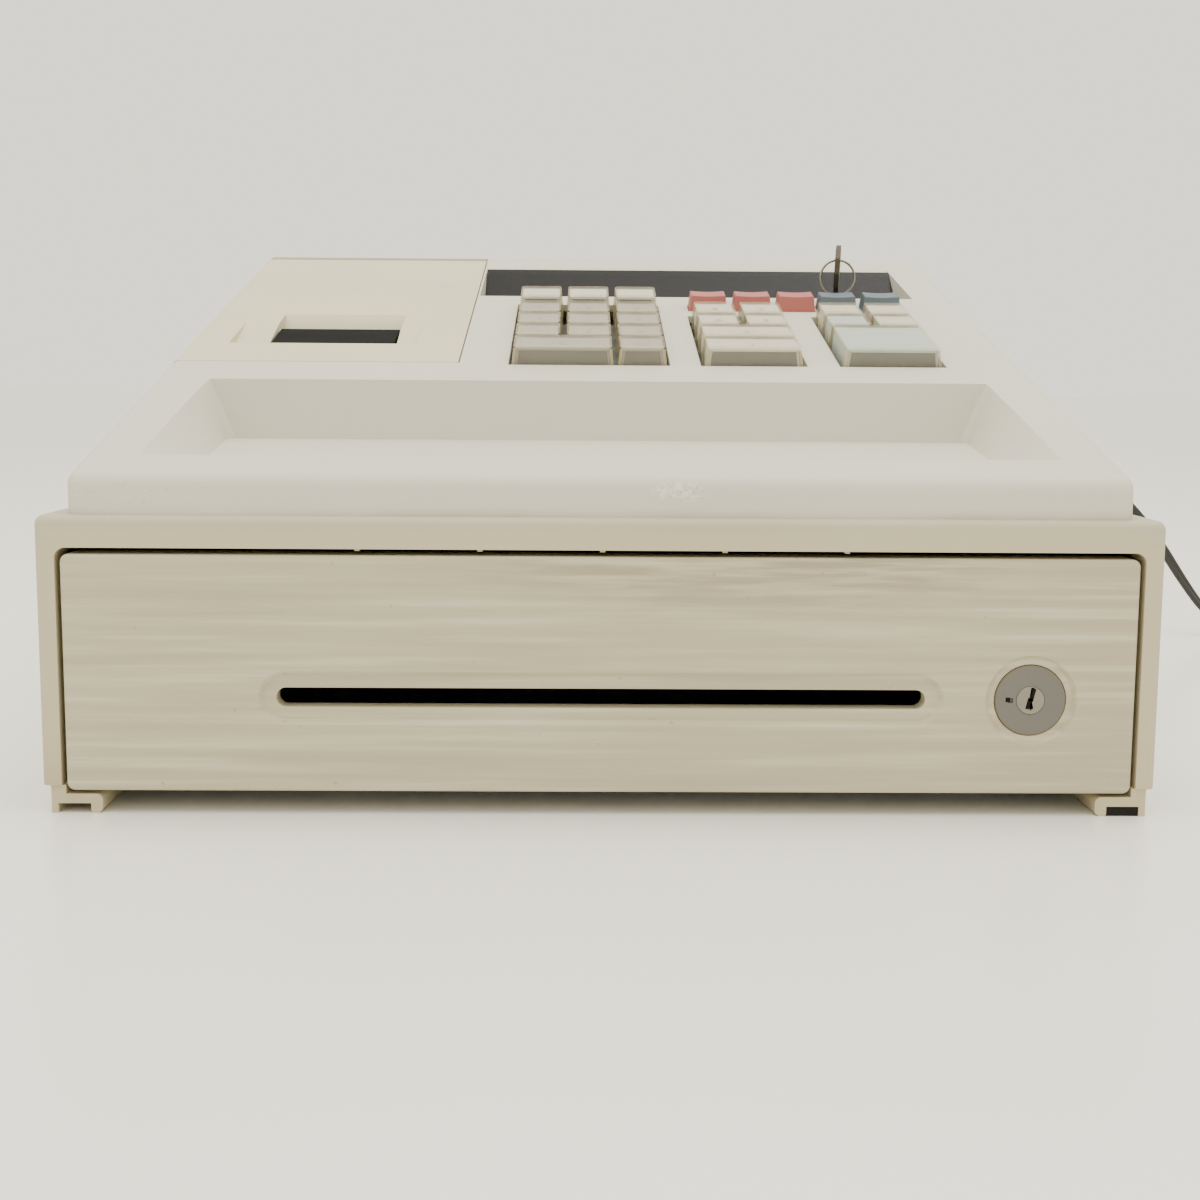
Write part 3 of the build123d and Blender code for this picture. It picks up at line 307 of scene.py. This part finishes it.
def paper_finish():
    """Edge of a wound roll: fine rings about its axis."""
    low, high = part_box("paper_roll")
    centre = (low + high) / 2
    f = Finish("paper", (0.80, 0.79, 0.75), 0.8, specular=0.3)
    moved = f.node("ShaderNodeVectorMath", {0: f.place, 1: centre}, operation="SUBTRACT")
    flat = f.node("ShaderNodeVectorMath", {0: moved.outputs[0], 1: (0, 1, 1)},
                  operation="MULTIPLY")
    radius = f.node("ShaderNodeVectorMath", {0: flat.outputs[0]}, operation="LENGTH")
    turns = f.math("FRACT", f.math("MULTIPLY", radius.outputs["Value"], 1400.0))
    f.tint(turns, (0.66, 0.65, 0.62), 0.6)
    f.tint(f.ramp(f.noise(6), 0.4, 0.8), (0.74, 0.73, 0.69), 0.5)
    return f.bump(turns, 0.03).done()


def board_finish():
    f = Finish("circuit_board", (0.045, 0.11, 0.05), 0.35)
    bricks = f.node("ShaderNodeTexVoronoi", {"Vector": f.place, "Scale": 420.0},
                    distance="CHEBYCHEV")
    f.tint(f.ramp(bricks.outputs["Distance"], 0.24, 0.16), (0.42, 0.38, 0.24), 0.7)
    f.tint(f.ramp(f.noise(7, (4, 1, 1)), 0.5, 0.56), (0.06, 0.16, 0.07))
    return f.bump(bricks.outputs["Distance"], 0.05).done()


PLUG_BODY = 23.6 * MM              # length of the plug without its blades


def plug_finish():
    """Black plug with plated blades in one node."""
    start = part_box("mains_plug")[0].y + PLUG_BODY
    f = moulded("plug_plastic", (0.022, 0.021, 0.020), mottle=0.08, roughness=0.42)
    blades = f.ramp(f.axis("Y"), start, start + 0.0004)
    f.tint(blades, (0.68, 0.64, 0.52))
    f.tree.links.new(blades, f.shader.inputs["Metallic"])
    return f.done()


def lock_finish():
    """Grey lock face with painted shade round its rim, where the gap to the drawer front is dark.
    """
    low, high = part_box("lock_case")
    centre = (low + high) / 2 / MM
    radius = (high.x - low.x) / 2 / MM
    f = moulded("lock_grey", (0.135, 0.127, 0.11), roughness=0.35, depth=0.004)
    inside = f.near(centre, (radius, 4 * radius, radius), 0.93)
    # painted shade: a dark ring at the outer edge of the face stands for the gap round the lock
    return f.tint(f.math("SUBTRACT", 1.0, inside), GRIME_AND_SHADE, 0.8).done()


def clear_finish(name, colour, alpha, roughness, specular=0.5):
    f = Finish(name, colour, roughness, alpha=alpha, specular=specular)
    f.tint(f.ramp(f.noise(4, shift=1), 0.4, 0.75), darker(colour, 0.88))
    f.gloss(f.noise(2.5, shift=6), roughness + 0.15)
    return f.bump(f.noise(0.9), 0.004).done()


FINISH = {
    "housing_plastic": housing_finish(),
    "drawer_plastic": drawer_finish(),
    "case_plastic": case_finish(),
    "cover_plastic": cover_finish(),
    "pad_rubber": simple_finish("pad_rubber", (0.014, 0.013, 0.011), roughness=0.9, specular=0.2,
                                depth=0.03),
    "sheet_steel": zinc_finish(),
    "plated_steel": brushed("plated_steel", (0.62, 0.60, 0.55), 0.3, (6, 1, 1)),
    "black_plastic": simple_finish("black_plastic", (0.010, 0.010, 0.010), roughness=0.6,
                                   specular=0.03),
    "contact_rubber": simple_finish("contact_rubber", (0.30, 0.30, 0.29), roughness=0.7),
    "circuit_board": board_finish(),
    "core_steel": brushed("core_steel", (0.20, 0.18, 0.15), 0.45, (1, 1, 0.1), 1.2),
    "lead_rubber": simple_finish("lead_rubber", (0.016, 0.015, 0.013), roughness=0.45, mottle=0.1),
    "plug_plastic": plug_finish(),
    "lock_grey": lock_finish(),
    "nickel": brushed("nickel", (0.27, 0.25, 0.205), 0.28, (1, 1, 6)),
    "clip_plastic": simple_finish("clip_plastic", (0.10, 0.10, 0.10), roughness=0.4),
    "platen_rubber": simple_finish("platen_rubber", (0.035, 0.033, 0.032), roughness=0.7),
    "paper": paper_finish(),
    "rotor_plastic": simple_finish("rotor_plastic", (0.10, 0.10, 0.10), roughness=0.4),
    "key_grey": simple_finish("key_grey", (0.37, 0.345, 0.28), mottle=0.03, depth=0.006),
    "key_white": simple_finish("key_white", (0.74, 0.71, 0.60), mottle=0.03, depth=0.006),
    "key_cream": simple_finish("key_cream", (0.70, 0.665, 0.53), mottle=0.03, depth=0.006),
    "key_pale_blue": simple_finish("key_pale_blue", (0.50, 0.60, 0.55), mottle=0.03, depth=0.006),
    "key_pink": simple_finish("key_pink", (0.40, 0.115, 0.10), mottle=0.06, depth=0.006),
    "key_blue": simple_finish("key_blue", (0.10, 0.135, 0.165), mottle=0.06, depth=0.006),
    "smoked_window": clear_finish("smoked_window", (0.020, 0.020, 0.021), 0.93, 0.16, 0.08),
}
KEY_METAL = brushed("key_metal", (0.085, 0.075, 0.055), 0.42, (1, 1, 6))
KEY_BASE = simple_finish("key_base", (0.075, 0.072, 0.064), mottle=0.04, depth=0.006)
COVER_PANE = clear_finish("cover_pane", (0.62, 0.58, 0.46), 0.15, 0.12, 0.3)
COVER_EDGE = clear_finish("cover_edge", (0.55, 0.49, 0.29), 0.62, 0.25)
LEGEND = simple_finish("legend_ink", (0.17, 0.17, 0.18), roughness=0.5)
MARK_INK_AND_SHADE = simple_finish("ink_and_hole_shade", (0.01, 0.01, 0.01), roughness=0.8, depth=0, specular=0.05)
SEGMENT = simple_finish("display_segment", (0.10, 0.19, 0.12), roughness=0.35)

for row in frame["record"]["subparts"]:
    data = NODES[row["node"]].data
    data.materials.clear()
    data.materials.append(FINISH[row["material_slot"]])
NODES["mode_key"].data.materials[0] = KEY_METAL
SLOT_OF = {row["node"]: row["material_slot"] for row in frame["record"]["subparts"]}


# ---------------------------------------------------------------- mesh helpers
def finish_piece(name, bm, body, slot, *materials, sharp=35):
    """Turns a bmesh into a shown piece on a body."""
    bmesh.ops.recalc_face_normals(bm, faces=bm.faces)
    mesh = bpy.data.meshes.new(name)
    bm.to_mesh(mesh)
    bm.free()
    for material in materials:
        mesh.materials.append(material)
    mesh.shade_smooth()
    mesh.set_sharp_from_angle(angle=radians(sharp))
    obj = bpy.data.objects.new(name, mesh)
    bpy.context.scene.collection.objects.link(obj)
    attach(obj, body)
    return obj


def add_rings(bm, rings, materials=None, cap_start=True, cap_end=True):
    """Skins a run of closed rings with equal point counts; materials gives one index per gap."""
    rows = [[bm.verts.new(p) for p in ring] for ring in rings]
    count = len(rows[0])
    faces = []
    for gap, (low, high) in enumerate(zip(rows, rows[1:])):
        for k in range(count):
            face = bm.faces.new((low[k], low[(k + 1) % count],
                                 high[(k + 1) % count], high[k]))
            face.material_index = materials[gap] if materials else 0
            faces.append((gap, k, face))
    if cap_start:
        bm.faces.new(list(reversed(rows[0])))
    if cap_end:
        bm.faces.new(rows[-1]).material_index = materials[-1] if materials else 0
    return faces


def rounded_ring(half_x, half_y, radius, corner=4, side=6):
    """Outline of a rounded rectangle, with corner steps in each corner and side steps between."""
    points = []
    for k, (sx, sy) in enumerate(((1, -1), (1, 1), (-1, 1), (-1, -1))):
        centre = Vector((sx * (half_x - radius), sy * (half_y - radius)))
        arc = [centre + radius * Vector((cos(a), sin(a))) for a in
               (radians(-90 + 90 * k + 90 * i / corner) for i in range(corner + 1))]
        points += arc
        nsx, nsy = ((1, 1), (-1, 1), (-1, -1), (1, -1))[k]
        start_angle = radians(90 * k)
        following = (Vector((nsx * (half_x - radius), nsy * (half_y - radius)))
                     + radius * Vector((cos(start_angle), sin(start_angle))))
        points += [arc[-1].lerp(following, i / side) for i in range(1, side)]
    return points


def add_box(bm, centre, half, right=Vector((1, 0, 0)), ahead=Vector((0, 1, 0)), bevel=0.0):
    """A box with bevelled edges, on any pair of axes."""
    up = right.cross(ahead)
    made = bmesh.ops.create_cube(bm, size=2.0)["verts"]
    turn = Matrix((right * half[0], ahead * half[1], up * half[2])).transposed().to_4x4()
    bmesh.ops.transform(bm, matrix=Matrix.Translation(centre) @ turn, verts=made)
    if bevel:
        edges = {e for v in made for e in v.link_edges}
        bmesh.ops.bevel(bm, geom=list(edges), offset=bevel, segments=2, profile=0.5,
                        affect="EDGES")


def lathe(bm, centre, direction, profile, steps=32, material=0):
    """Turns (distance along, radius) pairs about a direction."""
    direction = Vector(direction).normalized()
    across = direction.orthogonal().normalized()
    other = direction.cross(across)
    rings = [[Vector(centre) + direction * along
              + radius * (cos(2 * pi * k / steps) * across + sin(2 * pi * k / steps) * other)
              for k in range(steps)] for along, radius in profile]
    add_rings(bm, rings, [material] * (len(profile) - 1))


# ---------------------------------------------------------------- mains lead
LEAD_WIDTH, LEAD_THICK = 5.6 * MM, 2.9 * MM
LEAD_POINTS = (                    # x, y, z in mm, and the flex's roll about its line
    (202.2, 174, 118, 90), (222, 174.2, 115.2, 90), (246, 174.8, 106.2, 90),
    (270, 175.8, 91.6, 90), (292, 176.8, 74.0, 88), (311, 177.6, 52.6, 80),
    (326, 177.4, 30.0, 55), (340, 175.4, 11, 20), (358, 168.4, 2.6, 0), (378, 155.8, 2.0, 0),
    (397, 149.6, 2.0, 0))
COIL_CENTRE = (407.0, 190.6)
COIL_OUTER = 41.6                  # centreline radius of the outermost turn
COIL_PITCH = 5.3
COIL_TURNS = 4                     # in each of two layers
COIL_LEVELS = (2.0, 4.75)
TURN_STEPS = 16


def coil_points():
    """Two flat layers of turns, wound inwards on the floor and outwards on top."""
    points = []
    for k in range(2 * COIL_TURNS * TURN_STEPS + TURN_STEPS // 4 + 1):
        turns = k / TURN_STEPS
        inward = min(turns, 2 * COIL_TURNS - turns)
        radius = COIL_OUTER - COIL_PITCH * max(inward, 0.0)
        climb = min(max((turns - COIL_TURNS) * 3 + 0.5, 0.0), 1.0)
        height = COIL_LEVELS[0] + climb * (COIL_LEVELS[1] - COIL_LEVELS[0])
        angle = 2 * pi * turns - pi / 2
        points.append((COIL_CENTRE[0] + radius * cos(angle),
                       COIL_CENTRE[1] + radius * sin(angle), height, 0))
    return points


def lead_profile():
    """Section of flat twin flex, with a groove along the middle of each face."""
    outline = bpy.data.curves.new("lead_profile", "CURVE")
    outline.dimensions = "2D"
    spline = outline.splines.new("POLY")
    w, t = LEAD_WIDTH / 2, LEAD_THICK / 2
    half = [(w * 0.06, t * 0.72), (w * 0.22, t * 0.94), (w * 0.48, t), (w * 0.74, t * 0.92),
            (w * 0.92, t * 0.62), (w, t * 0.2)]
    ring = [(0.0, t * 0.64)] + half + [(x, -y) for x, y in reversed(half)] + [(0.0, -t * 0.64)]
    ring += [(-x, -y) for x, y in half] + [(-x, y) for x, y in reversed(half)]
    spline.points.add(len(ring) - 1)
    for point, (x, y) in zip(spline.points, ring):
        point.co = (x, y, 0, 1)
    spline.use_cyclic_u = True
    obj = bpy.data.objects.new("lead_profile", outline)
    bpy.context.scene.collection.objects.link(obj)
    obj.hide_render = True
    return obj


def make_lead():
    data = bpy.data.curves.new("mains_flex", "CURVE")
    data.dimensions = "3D"
    data.twist_mode = "Z_UP"
    data.resolution_u = 6
    data.bevel_mode = "OBJECT"
    data.bevel_object = lead_profile()
    data.use_fill_caps = True
    plug_low, plug_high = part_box("mains_plug")
    plug_x, plug_z = (plug_low.x + plug_high.x) / 2 / MM, (plug_low.z + plug_high.z) / 2 / MM
    tail = ((plug_x - 0.6, COIL_CENTRE[1] + 12, 4.9, 0), (plug_x, plug_low.y / MM - 8, 5.4, 0),
            (plug_x, plug_low.y / MM + 2, plug_z - 0.6, 0))
    points = [*LEAD_POINTS, *coil_points(), *tail]
    spline = data.splines.new("NURBS")
    spline.points.add(len(points) - 1)
    for point, (x, y, z, roll) in zip(spline.points, points):
        point.co = (x * MM, y * MM, z * MM, 1)
        point.tilt = radians(roll)
    spline.order_u = 3
    spline.use_endpoint_u = True
    data.materials.append(FINISH["lead_rubber"])
    obj = bpy.data.objects.new("mains_flex", data)
    bpy.context.scene.collection.objects.link(obj)
    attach(obj, "case")
    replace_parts(obj, "mains_lead", "lead_coil")
    return obj


def make_boot():
    """Ribbed tapered strain relief."""
    low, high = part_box("strain_relief")
    centre = Vector((0, (low.y + high.y) / 2, (low.z + high.z) / 2))
    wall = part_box("upper_case")[1].x
    profile = [(low.x, 3.4 * MM), (low.x, 4.8 * MM), (wall - 0.2 * MM, 4.8 * MM),
               (wall, 7.6 * MM), (wall + 0.6 * MM, 8 * MM), (wall + 2.2 * MM, 8 * MM),
               (wall + 2.6 * MM, 7.4 * MM)]
    start, end = wall + 3.4 * MM, high.x
    ribs = 9
    for k in range(ribs):
        radius = (5.5 - 1.9 * k / (ribs - 1)) * MM
        step = (end - start) / ribs
        at = start + k * step
        profile += [(at, radius * 0.80), (at + 0.14 * step, radius), (at + 0.62 * step, radius),
                    (at + 0.76 * step, radius * 0.80)]
    profile += [(end, 3.2 * MM), (end, 2.9 * MM)]
    bm = bmesh.new()
    lathe(bm, centre, (1, 0, 0), profile)
    boot = finish_piece("strain_boot", bm, "case", "lead_rubber", FINISH["lead_rubber"])
    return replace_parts(boot, "strain_relief")


def make_tie():
    """Twist tie round the coil."""
    angle = radians(160)
    out = Vector((cos(angle), sin(angle), 0))
    along = Vector((-sin(angle), cos(angle), 0))
    inner = COIL_OUTER - COIL_PITCH * COIL_TURNS
    middle = (COIL_OUTER + inner) / 2 * MM
    half = ((COIL_OUTER - inner) / 2 + 3.6) * MM
    low, high = 0.35 * MM, (COIL_LEVELS[1] + 1.8) * MM
    centre = Vector((*COIL_CENTRE, 0)) * MM + out * middle + Vector((0, 0, (low + high) / 2))
    ring = rounded_ring(half, (high - low) / 2, 1.6 * MM, corner=5, side=5)
    bm = bmesh.new()
    sections = ((0.0, -1.6), (0.28, -1.5), (0.28, 1.5), (0.0, 1.6), (-0.2, 1.4), (-0.2, -1.4))
    loops = []
    for k, p in enumerate(ring):
        step = (ring[(k + 1) % len(ring)] - ring[k - 1]).normalized()
        normal = Vector((step.y, -step.x))
        loops.append([bm.verts.new(centre + out * (p.x + normal.x * a * MM)
                                   + Vector((0, 0, p.y + normal.y * a * MM)) + along * b * MM)
                      for a, b in sections])
    for one, two in zip(loops, loops[1:] + loops[:1]):
        for k in range(len(sections)):
            bm.faces.new((one[k], one[(k + 1) % len(sections)],
                          two[(k + 1) % len(sections)], two[k]))
    return finish_piece("lead_tie", bm, "case", "lead_rubber", FINISH["lead_rubber"])


boot = make_boot()
lead = make_lead()
tie = make_tie()


# ---------------------------------------------------------------- keys
COVER_WALL = 0.6 * MM
PER_SIDE = 3 + 8                   # points of a key's outline in one corner and its next side
GLYPHS = {"key_number_r2c1": "7", "key_number_r2c2": "8", "key_number_r2c3": "9",
          "key_number_r3c1": "4", "key_number_r3c2": "5", "key_number_r3c3": "6",
          "key_number_r4c1": "1", "key_number_r4c2": "2", "key_number_r4c3": "3",
          "key_number_wide": "0", "key_number_corner": "00",
          "key_department_r3c1": "4", "key_department_r3c2": "3",
          "key_department_r2c1": "6", "key_department_r2c2": "5",
          "key_department_bar_2": "2", "key_department_bar_1": "1"}


def glyph_faces(text, size):
    """Flat outline faces of some digits, centred on the origin, from the built-in font."""
    curve = bpy.data.curves.new("glyph", "FONT")
    curve.body, curve.size = text, size
    curve.align_x, curve.align_y = "CENTER", "CENTER"
    curve.resolution_u = 3
    obj = bpy.data.objects.new("glyph", curve)
    mesh = bpy.data.meshes.new_from_object(obj)
    points = [v.co.copy() for v in mesh.vertices]
    faces = [tuple(p.vertices) for p in mesh.polygons]
    bpy.data.meshes.remove(mesh)
    bpy.data.objects.remove(obj)
    bpy.data.curves.remove(curve)
    return points, faces


def dished(x, half, depth):
    """How far a key's top lies below its rim: a cylinder along the key, deepest mid-width."""
    return depth * (1 - min(1.0, abs(x) / half) ** 2)


def key_stack(span, levels, dish, inner=5):
    """Rings of a key: levels are (height, inset) pairs, then the top closes in with its dish."""
    (x0, x1), (s0, s1), _ = span
    cx, cs, half_x, half_s = (x0 + x1) / 2, (s0 + s1) / 2, (x1 - x0) / 2, (s1 - s0) / 2
    rings = []
    top, rim = levels[-1]
    steps = [(h, inset, 0.0) for h, inset in levels[:-1]]
    steps += [(top, rim + (min(half_x, half_s) - rim) * k / inner * 0.94, 1.0)
              for k in range(inner + 1)]
    for h, inset, share in steps:
        hx, hs = half_x - inset, half_s - inset
        ring = rounded_ring(hx, hs, min(1.1 * MM, hx * 0.45, hs * 0.45), corner=3, side=8)
        rings.append([on_panel(cx + p.x, cs + p.y, h - share * dished(p.x, half_x, dish))
                      for p in ring])
    return rings, (cx, cs, half_x)


def make_key(node):
    """A grey base with a coloured insert on top, and a clear cover over both."""
    span = panel_span(node)
    low, high = span[2]
    dish = 0.55 * MM
    slot = SLOT_OF[node]
    # base and insert
    levels = [(low + 0.3 * MM, 1.0 * MM), (0.0, 1.1 * MM), (high - 2.3 * MM, 1.7 * MM),
              (high - 2.1 * MM, 1.35 * MM), (high - 1.2 * MM, 1.5 * MM),
              (high - 0.95 * MM, 1.8 * MM)]
    rings, (cx, cs, half_x) = key_stack(span, levels, dish)
    bm = bmesh.new()
    # the insert wraps over the left and right sides and leaves the base bare at the front
    for gap, k, face in add_rings(bm, rings, [0, 0, 0, 1, 1] + [1] * (len(rings) - 6)):
        if gap < 2 and (k // PER_SIDE in (0, 2) or k % PER_SIDE < 3):
            face.material_index = 1
    if node in GLYPHS:
        points, faces = glyph_faces(GLYPHS[node], 6.0 * MM)
        spots = [bm.verts.new(on_panel(cx + p.x, cs + p.y * 1.15,
                                       high - 0.90 * MM - dished(p.x, half_x, dish)))
                 for p in points]
        for face in faces:
            bm.faces.new([spots[k] for k in face]).material_index = 2
    cap = finish_piece(node + "_cap", bm, node, slot, KEY_BASE, FINISH[slot], LEGEND)
    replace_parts(cap, node)
    # clear cover
    draw = 0.8 * MM
    levels = [(low, 0.0), (0.0, 0.0), (high - 1.3 * MM, draw * 0.85), (high - 0.4 * MM, draw),
              (high - 0.08 * MM, draw + 0.3 * MM), (high, draw + 0.9 * MM)]
    rings, _ = key_stack(span, levels, dish)
    bm = bmesh.new()
    made = add_rings(bm, rings, [0, 0, 0, 1, 0] + [0] * (len(rings) - 6), cap_start=False)
    for gap, k, face in made:
        if gap < 2 and k % PER_SIDE < 3:
            face.material_index = 1
    cover = finish_piece(node + "_cover", bm, node, slot, COVER_PANE, COVER_EDGE)
    wall = cover.modifiers.new("wall", "SOLIDIFY")
    wall.thickness, wall.offset = COVER_WALL, -1.0


for node in sorted(NODES):
    if node.startswith("key_") and SLOT_OF[node] in (
            "key_grey", "key_white", "key_cream", "key_pale_blue"):
        make_key(node)


# ---------------------------------------------------------------- displays
SEGMENTS = ((0, 1, 1), (0, -1, 1), (0, 0, 1), (-1, 0.5, 0), (1, 0.5, 0), (-1, -0.5, 0),
            (1, -0.5, 0))           # column, row and whether it lies level


def add_digit(bm, centre, right, up, width, height, material):
    """Seven raised bars of one display digit."""
    bar = width * 0.13
    first = len(bm.faces)
    for column, row, level in SEGMENTS:
        place = centre + right * (column * width / 2) + up * (row * height / 2)
        half = ((width / 2 - bar * 1.1, bar / 2) if level else (bar / 2, height / 4 - bar * 0.7))
        add_box(bm, place, (half[0], half[1], 0.2 * MM), right, up)
    bm.faces.ensure_lookup_table()
    for face in bm.faces[first:]:
        face.material_index = material


def display_module(name, body, centre, right, up, half, digits, digit_size):
    """A dark carrier with a row of digits that shows faintly through its window."""
    bm = bmesh.new()
    out = right.cross(up)
    add_box(bm, centre - out * half[2], half, right, up, bevel=0.6 * MM)
    pitch = 2 * half[0] * 0.86 / digits
    for k in range(digits):
        x = (k - (digits - 1) / 2) * pitch
        add_digit(bm, centre + right * x + out * 0.15 * MM, right, up, *digit_size, 1)
    return finish_piece(name, bm, body, "black_plastic", FINISH["black_plastic"], SEGMENT)


def make_displays():
    x, s, h = panel_span("display_window")
    rise = ALONG * (s[1] - s[0]) + OFF * (h[1] - h[0] - 2.4 * MM)
    up = rise.normalized()
    middle = on_panel((x[0] + x[1]) / 2, (s[0] + s[1]) / 2, (h[0] + h[1]) / 2)
    right = Vector((1, 0, 0))
    out = right.cross(up)
    display_module("display_module", "case", middle - out * 3.6 * MM, right, up,
                   ((x[1] - x[0]) / 2 - 3 * MM, rise.length / 2 - 4 * MM, 3 * MM), 10,
                   (9 * MM, 16 * MM))
    low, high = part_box("popup_display")
    recess = high.y - 1.0 * MM
    centre = Vector(((low.x + high.x) / 2, recess, high.z - 19 * MM))
    bm = bmesh.new()
    back = Vector((-1, 0, 0))
    half = ((high.x - low.x) / 2 - 9.8 * MM, 10.6 * MM, 0.4 * MM)
    add_box(bm, centre - Vector((0, 0.6 * MM, 0)), half, back, Vector((0, 0, 1)))
    for k in range(7):
        spot = centre + back * ((k - 3) * 11.5 * MM) - Vector((0, 0.1 * MM, 0))
        add_digit(bm, spot, back, Vector((0, 0, 1)), 6.5 * MM, 12 * MM, 1)
    finish_piece("customer_digits", bm, "customer_display", "black_plastic",
                 FINISH["black_plastic"], SEGMENT)


make_displays()


# ---------------------------------------------------------------- lock, ring and screws
def make_lock_marks():
    """Keyway with its kink, drawn as thin black bars of painted shade where the slot is, and the
    printed index mark left of the plug.
    """
    low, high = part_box("lock_plug")
    centre = Vector(((low.x + high.x) / 2, low.y, SLOT_Z))
    bm = bmesh.new()
    tilt = radians(14)
    up = Vector((sin(tilt), 0, cos(tilt)))
    right = Vector((cos(tilt), 0, -sin(tilt)))
    # painted shade: black bars where the keyway slot is dark
    for x, z, half_x, half_z in ((0.2, 1.9, 0.55, 2.1), (-0.35, -1.2, 0.55, 1.7),
                                 (-0.05, 0.3, 0.8, 0.45)):
        add_box(bm, centre + right * x * MM + up * z * MM, (half_x * MM, half_z * MM, 0.15 * MM),
                right, up)
    finish_piece("lock_keyway", bm, "lock", "nickel", MARK_INK_AND_SHADE)
    bm = bmesh.new()
    case_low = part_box("lock_case")[0]
    spot = Vector((centre.x - 7.2 * MM, case_low.y + 0.02 * MM, centre.z + 0.2 * MM))
    add_box(bm, spot, (0.7 * MM, 0.7 * MM, 0.15 * MM), Vector((1, 0, 0)), Vector((0, 0, 1)))
    finish_piece("lock_index", bm, "drawer", "lock_grey", MARK_INK_AND_SHADE)


make_lock_marks()


def make_ring():
    """Split ring: two close turns of wire."""
    low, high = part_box("key_ring")
    centre = (low + high) / 2
    radius = (high.x - low.x) / 2 - 0.65 * MM
    data = bpy.data.curves.new("split_ring", "CURVE")
    data.dimensions = "3D"
    data.bevel_depth = 0.5 * MM
    data.bevel_resolution = 3
    data.use_fill_caps = True
    spline = data.splines.new("NURBS")
    steps = 24
    points = []
    for k in range(2 * steps - 2):
        angle = 2 * pi * k / steps + 0.8
        shift = (k / (2 * steps - 3) - 0.5) * 1.05 * MM
        points.append(centre + Vector((radius * cos(angle), shift, radius * sin(angle))))
    spline.points.add(len(points) - 1)
    for point, place in zip(spline.points, points):
        point.co = (*place, 1)
    spline.order_u = 4
    spline.use_endpoint_u = True
    data.materials.append(FINISH["nickel"])
    obj = bpy.data.objects.new("split_ring", data)
    bpy.context.scene.collection.objects.link(obj)
    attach(obj, "ring")
    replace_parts(obj, "key_ring")


make_ring()


def add_screw(bm, place, out, radius):
    """Pan head with a cross recess in painted shade: two dark bars on the head."""
    out = Vector(out)
    lathe(bm, Vector(place) - out * 0.6 * MM, out,
          [(0, radius * 0.5), (0.6 * MM, radius), (0.6 * MM + radius * 0.25, radius * 0.97),
           (0.6 * MM + radius * 0.48, radius * 0.75), (0.6 * MM + radius * 0.55, radius * 0.4),
           (0.6 * MM + radius * 0.55, radius * 0.05)], steps=24)
    right = out.orthogonal().normalized()
    ahead = out.cross(right)
    top = Vector(place) + out * radius * 0.52
    # painted shade: two dark bars on the head stand for the cross recess
    for one, two in ((right, ahead), (ahead, -right)):
        first = len(bm.faces)
        add_box(bm, top, (radius * 0.5, radius * 0.11, radius * 0.06), one, two)
        bm.faces.ensure_lookup_table()
        for face in bm.faces[first:]:
            face.material_index = 1


def make_screws():
    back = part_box("drawer_housing")[1].y
    case_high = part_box("upper_case")[1]
    bm = bmesh.new()
    for x in (-0.165, 0.165):
        for z in (0.022, 0.082):
            add_screw(bm, (x, back, z), (0, 1, 0), 3.4 * MM)
    for x in (-0.155, -0.02, 0.155):
        add_screw(bm, (x, case_high.y, 0.106), (0, 1, 0), 2.9 * MM)
    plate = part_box("base_plate")[0].z
    for x in (-0.160, 0.160):
        for y in (-0.15, 0.0, 0.15):
            add_screw(bm, (x, y, plate), (0, 0, -1), 2.9 * MM)
    finish_piece("case_screws", bm, "case", "plated_steel", FINISH["plated_steel"], MARK_INK_AND_SHADE)


make_screws()


# ---------------------------------------------------------------- stage
def floor_finish():
    f = Finish("floor", (0.90, 0.89, 0.84), 0.22, specular=0.5)
    f.tint(f.ramp(f.noise(260), 0.3, 0.8), (0.93, 0.92, 0.87))
    return f.bump(f.noise(14), 0.02).done()


def make_stage():
    mesh = bpy.data.meshes.new("floor")
    reach = 14.0
    mesh.from_pydata([(-reach, -reach, 0), (reach, -reach, 0), (reach, reach, 0),
                      (-reach, reach, 0)], [], [(0, 1, 2, 3)])
    mesh.materials.append(floor_finish())
    floor = bpy.data.objects.new("floor", mesh)
    bpy.context.scene.collection.objects.link(floor)
    world = bpy.data.worlds.new("studio")
    world.use_nodes = True
    background = world.node_tree.nodes["Background"]
    background.inputs["Color"].default_value = (1.0, 0.94, 0.80, 1)
    background.inputs["Strength"].default_value = 1.65
    bpy.context.scene.world = world


def add_light(name, place, aim, size, power):
    data = bpy.data.lights.new(name, "AREA")
    data.shape, data.size, data.size_y = "RECTANGLE", *size
    data.energy = power
    data.color = (1.0, 0.985, 0.95)
    light = bpy.data.objects.new(name, data)
    light.location = place
    light.rotation_mode = "QUATERNION"
    light.rotation_quaternion = (Vector(aim) - Vector(place)).to_track_quat("-Z", "Y")
    bpy.context.scene.collection.objects.link(light)


make_stage()
add_light("overhead", (0.1, -0.2, 1.9), (0, 0, 0.1), (2.2, 1.8), 42)
add_light("front", (-0.9, -2.2, 1.3), (0, 0, 0.1), (1.8, 1.2), 2)
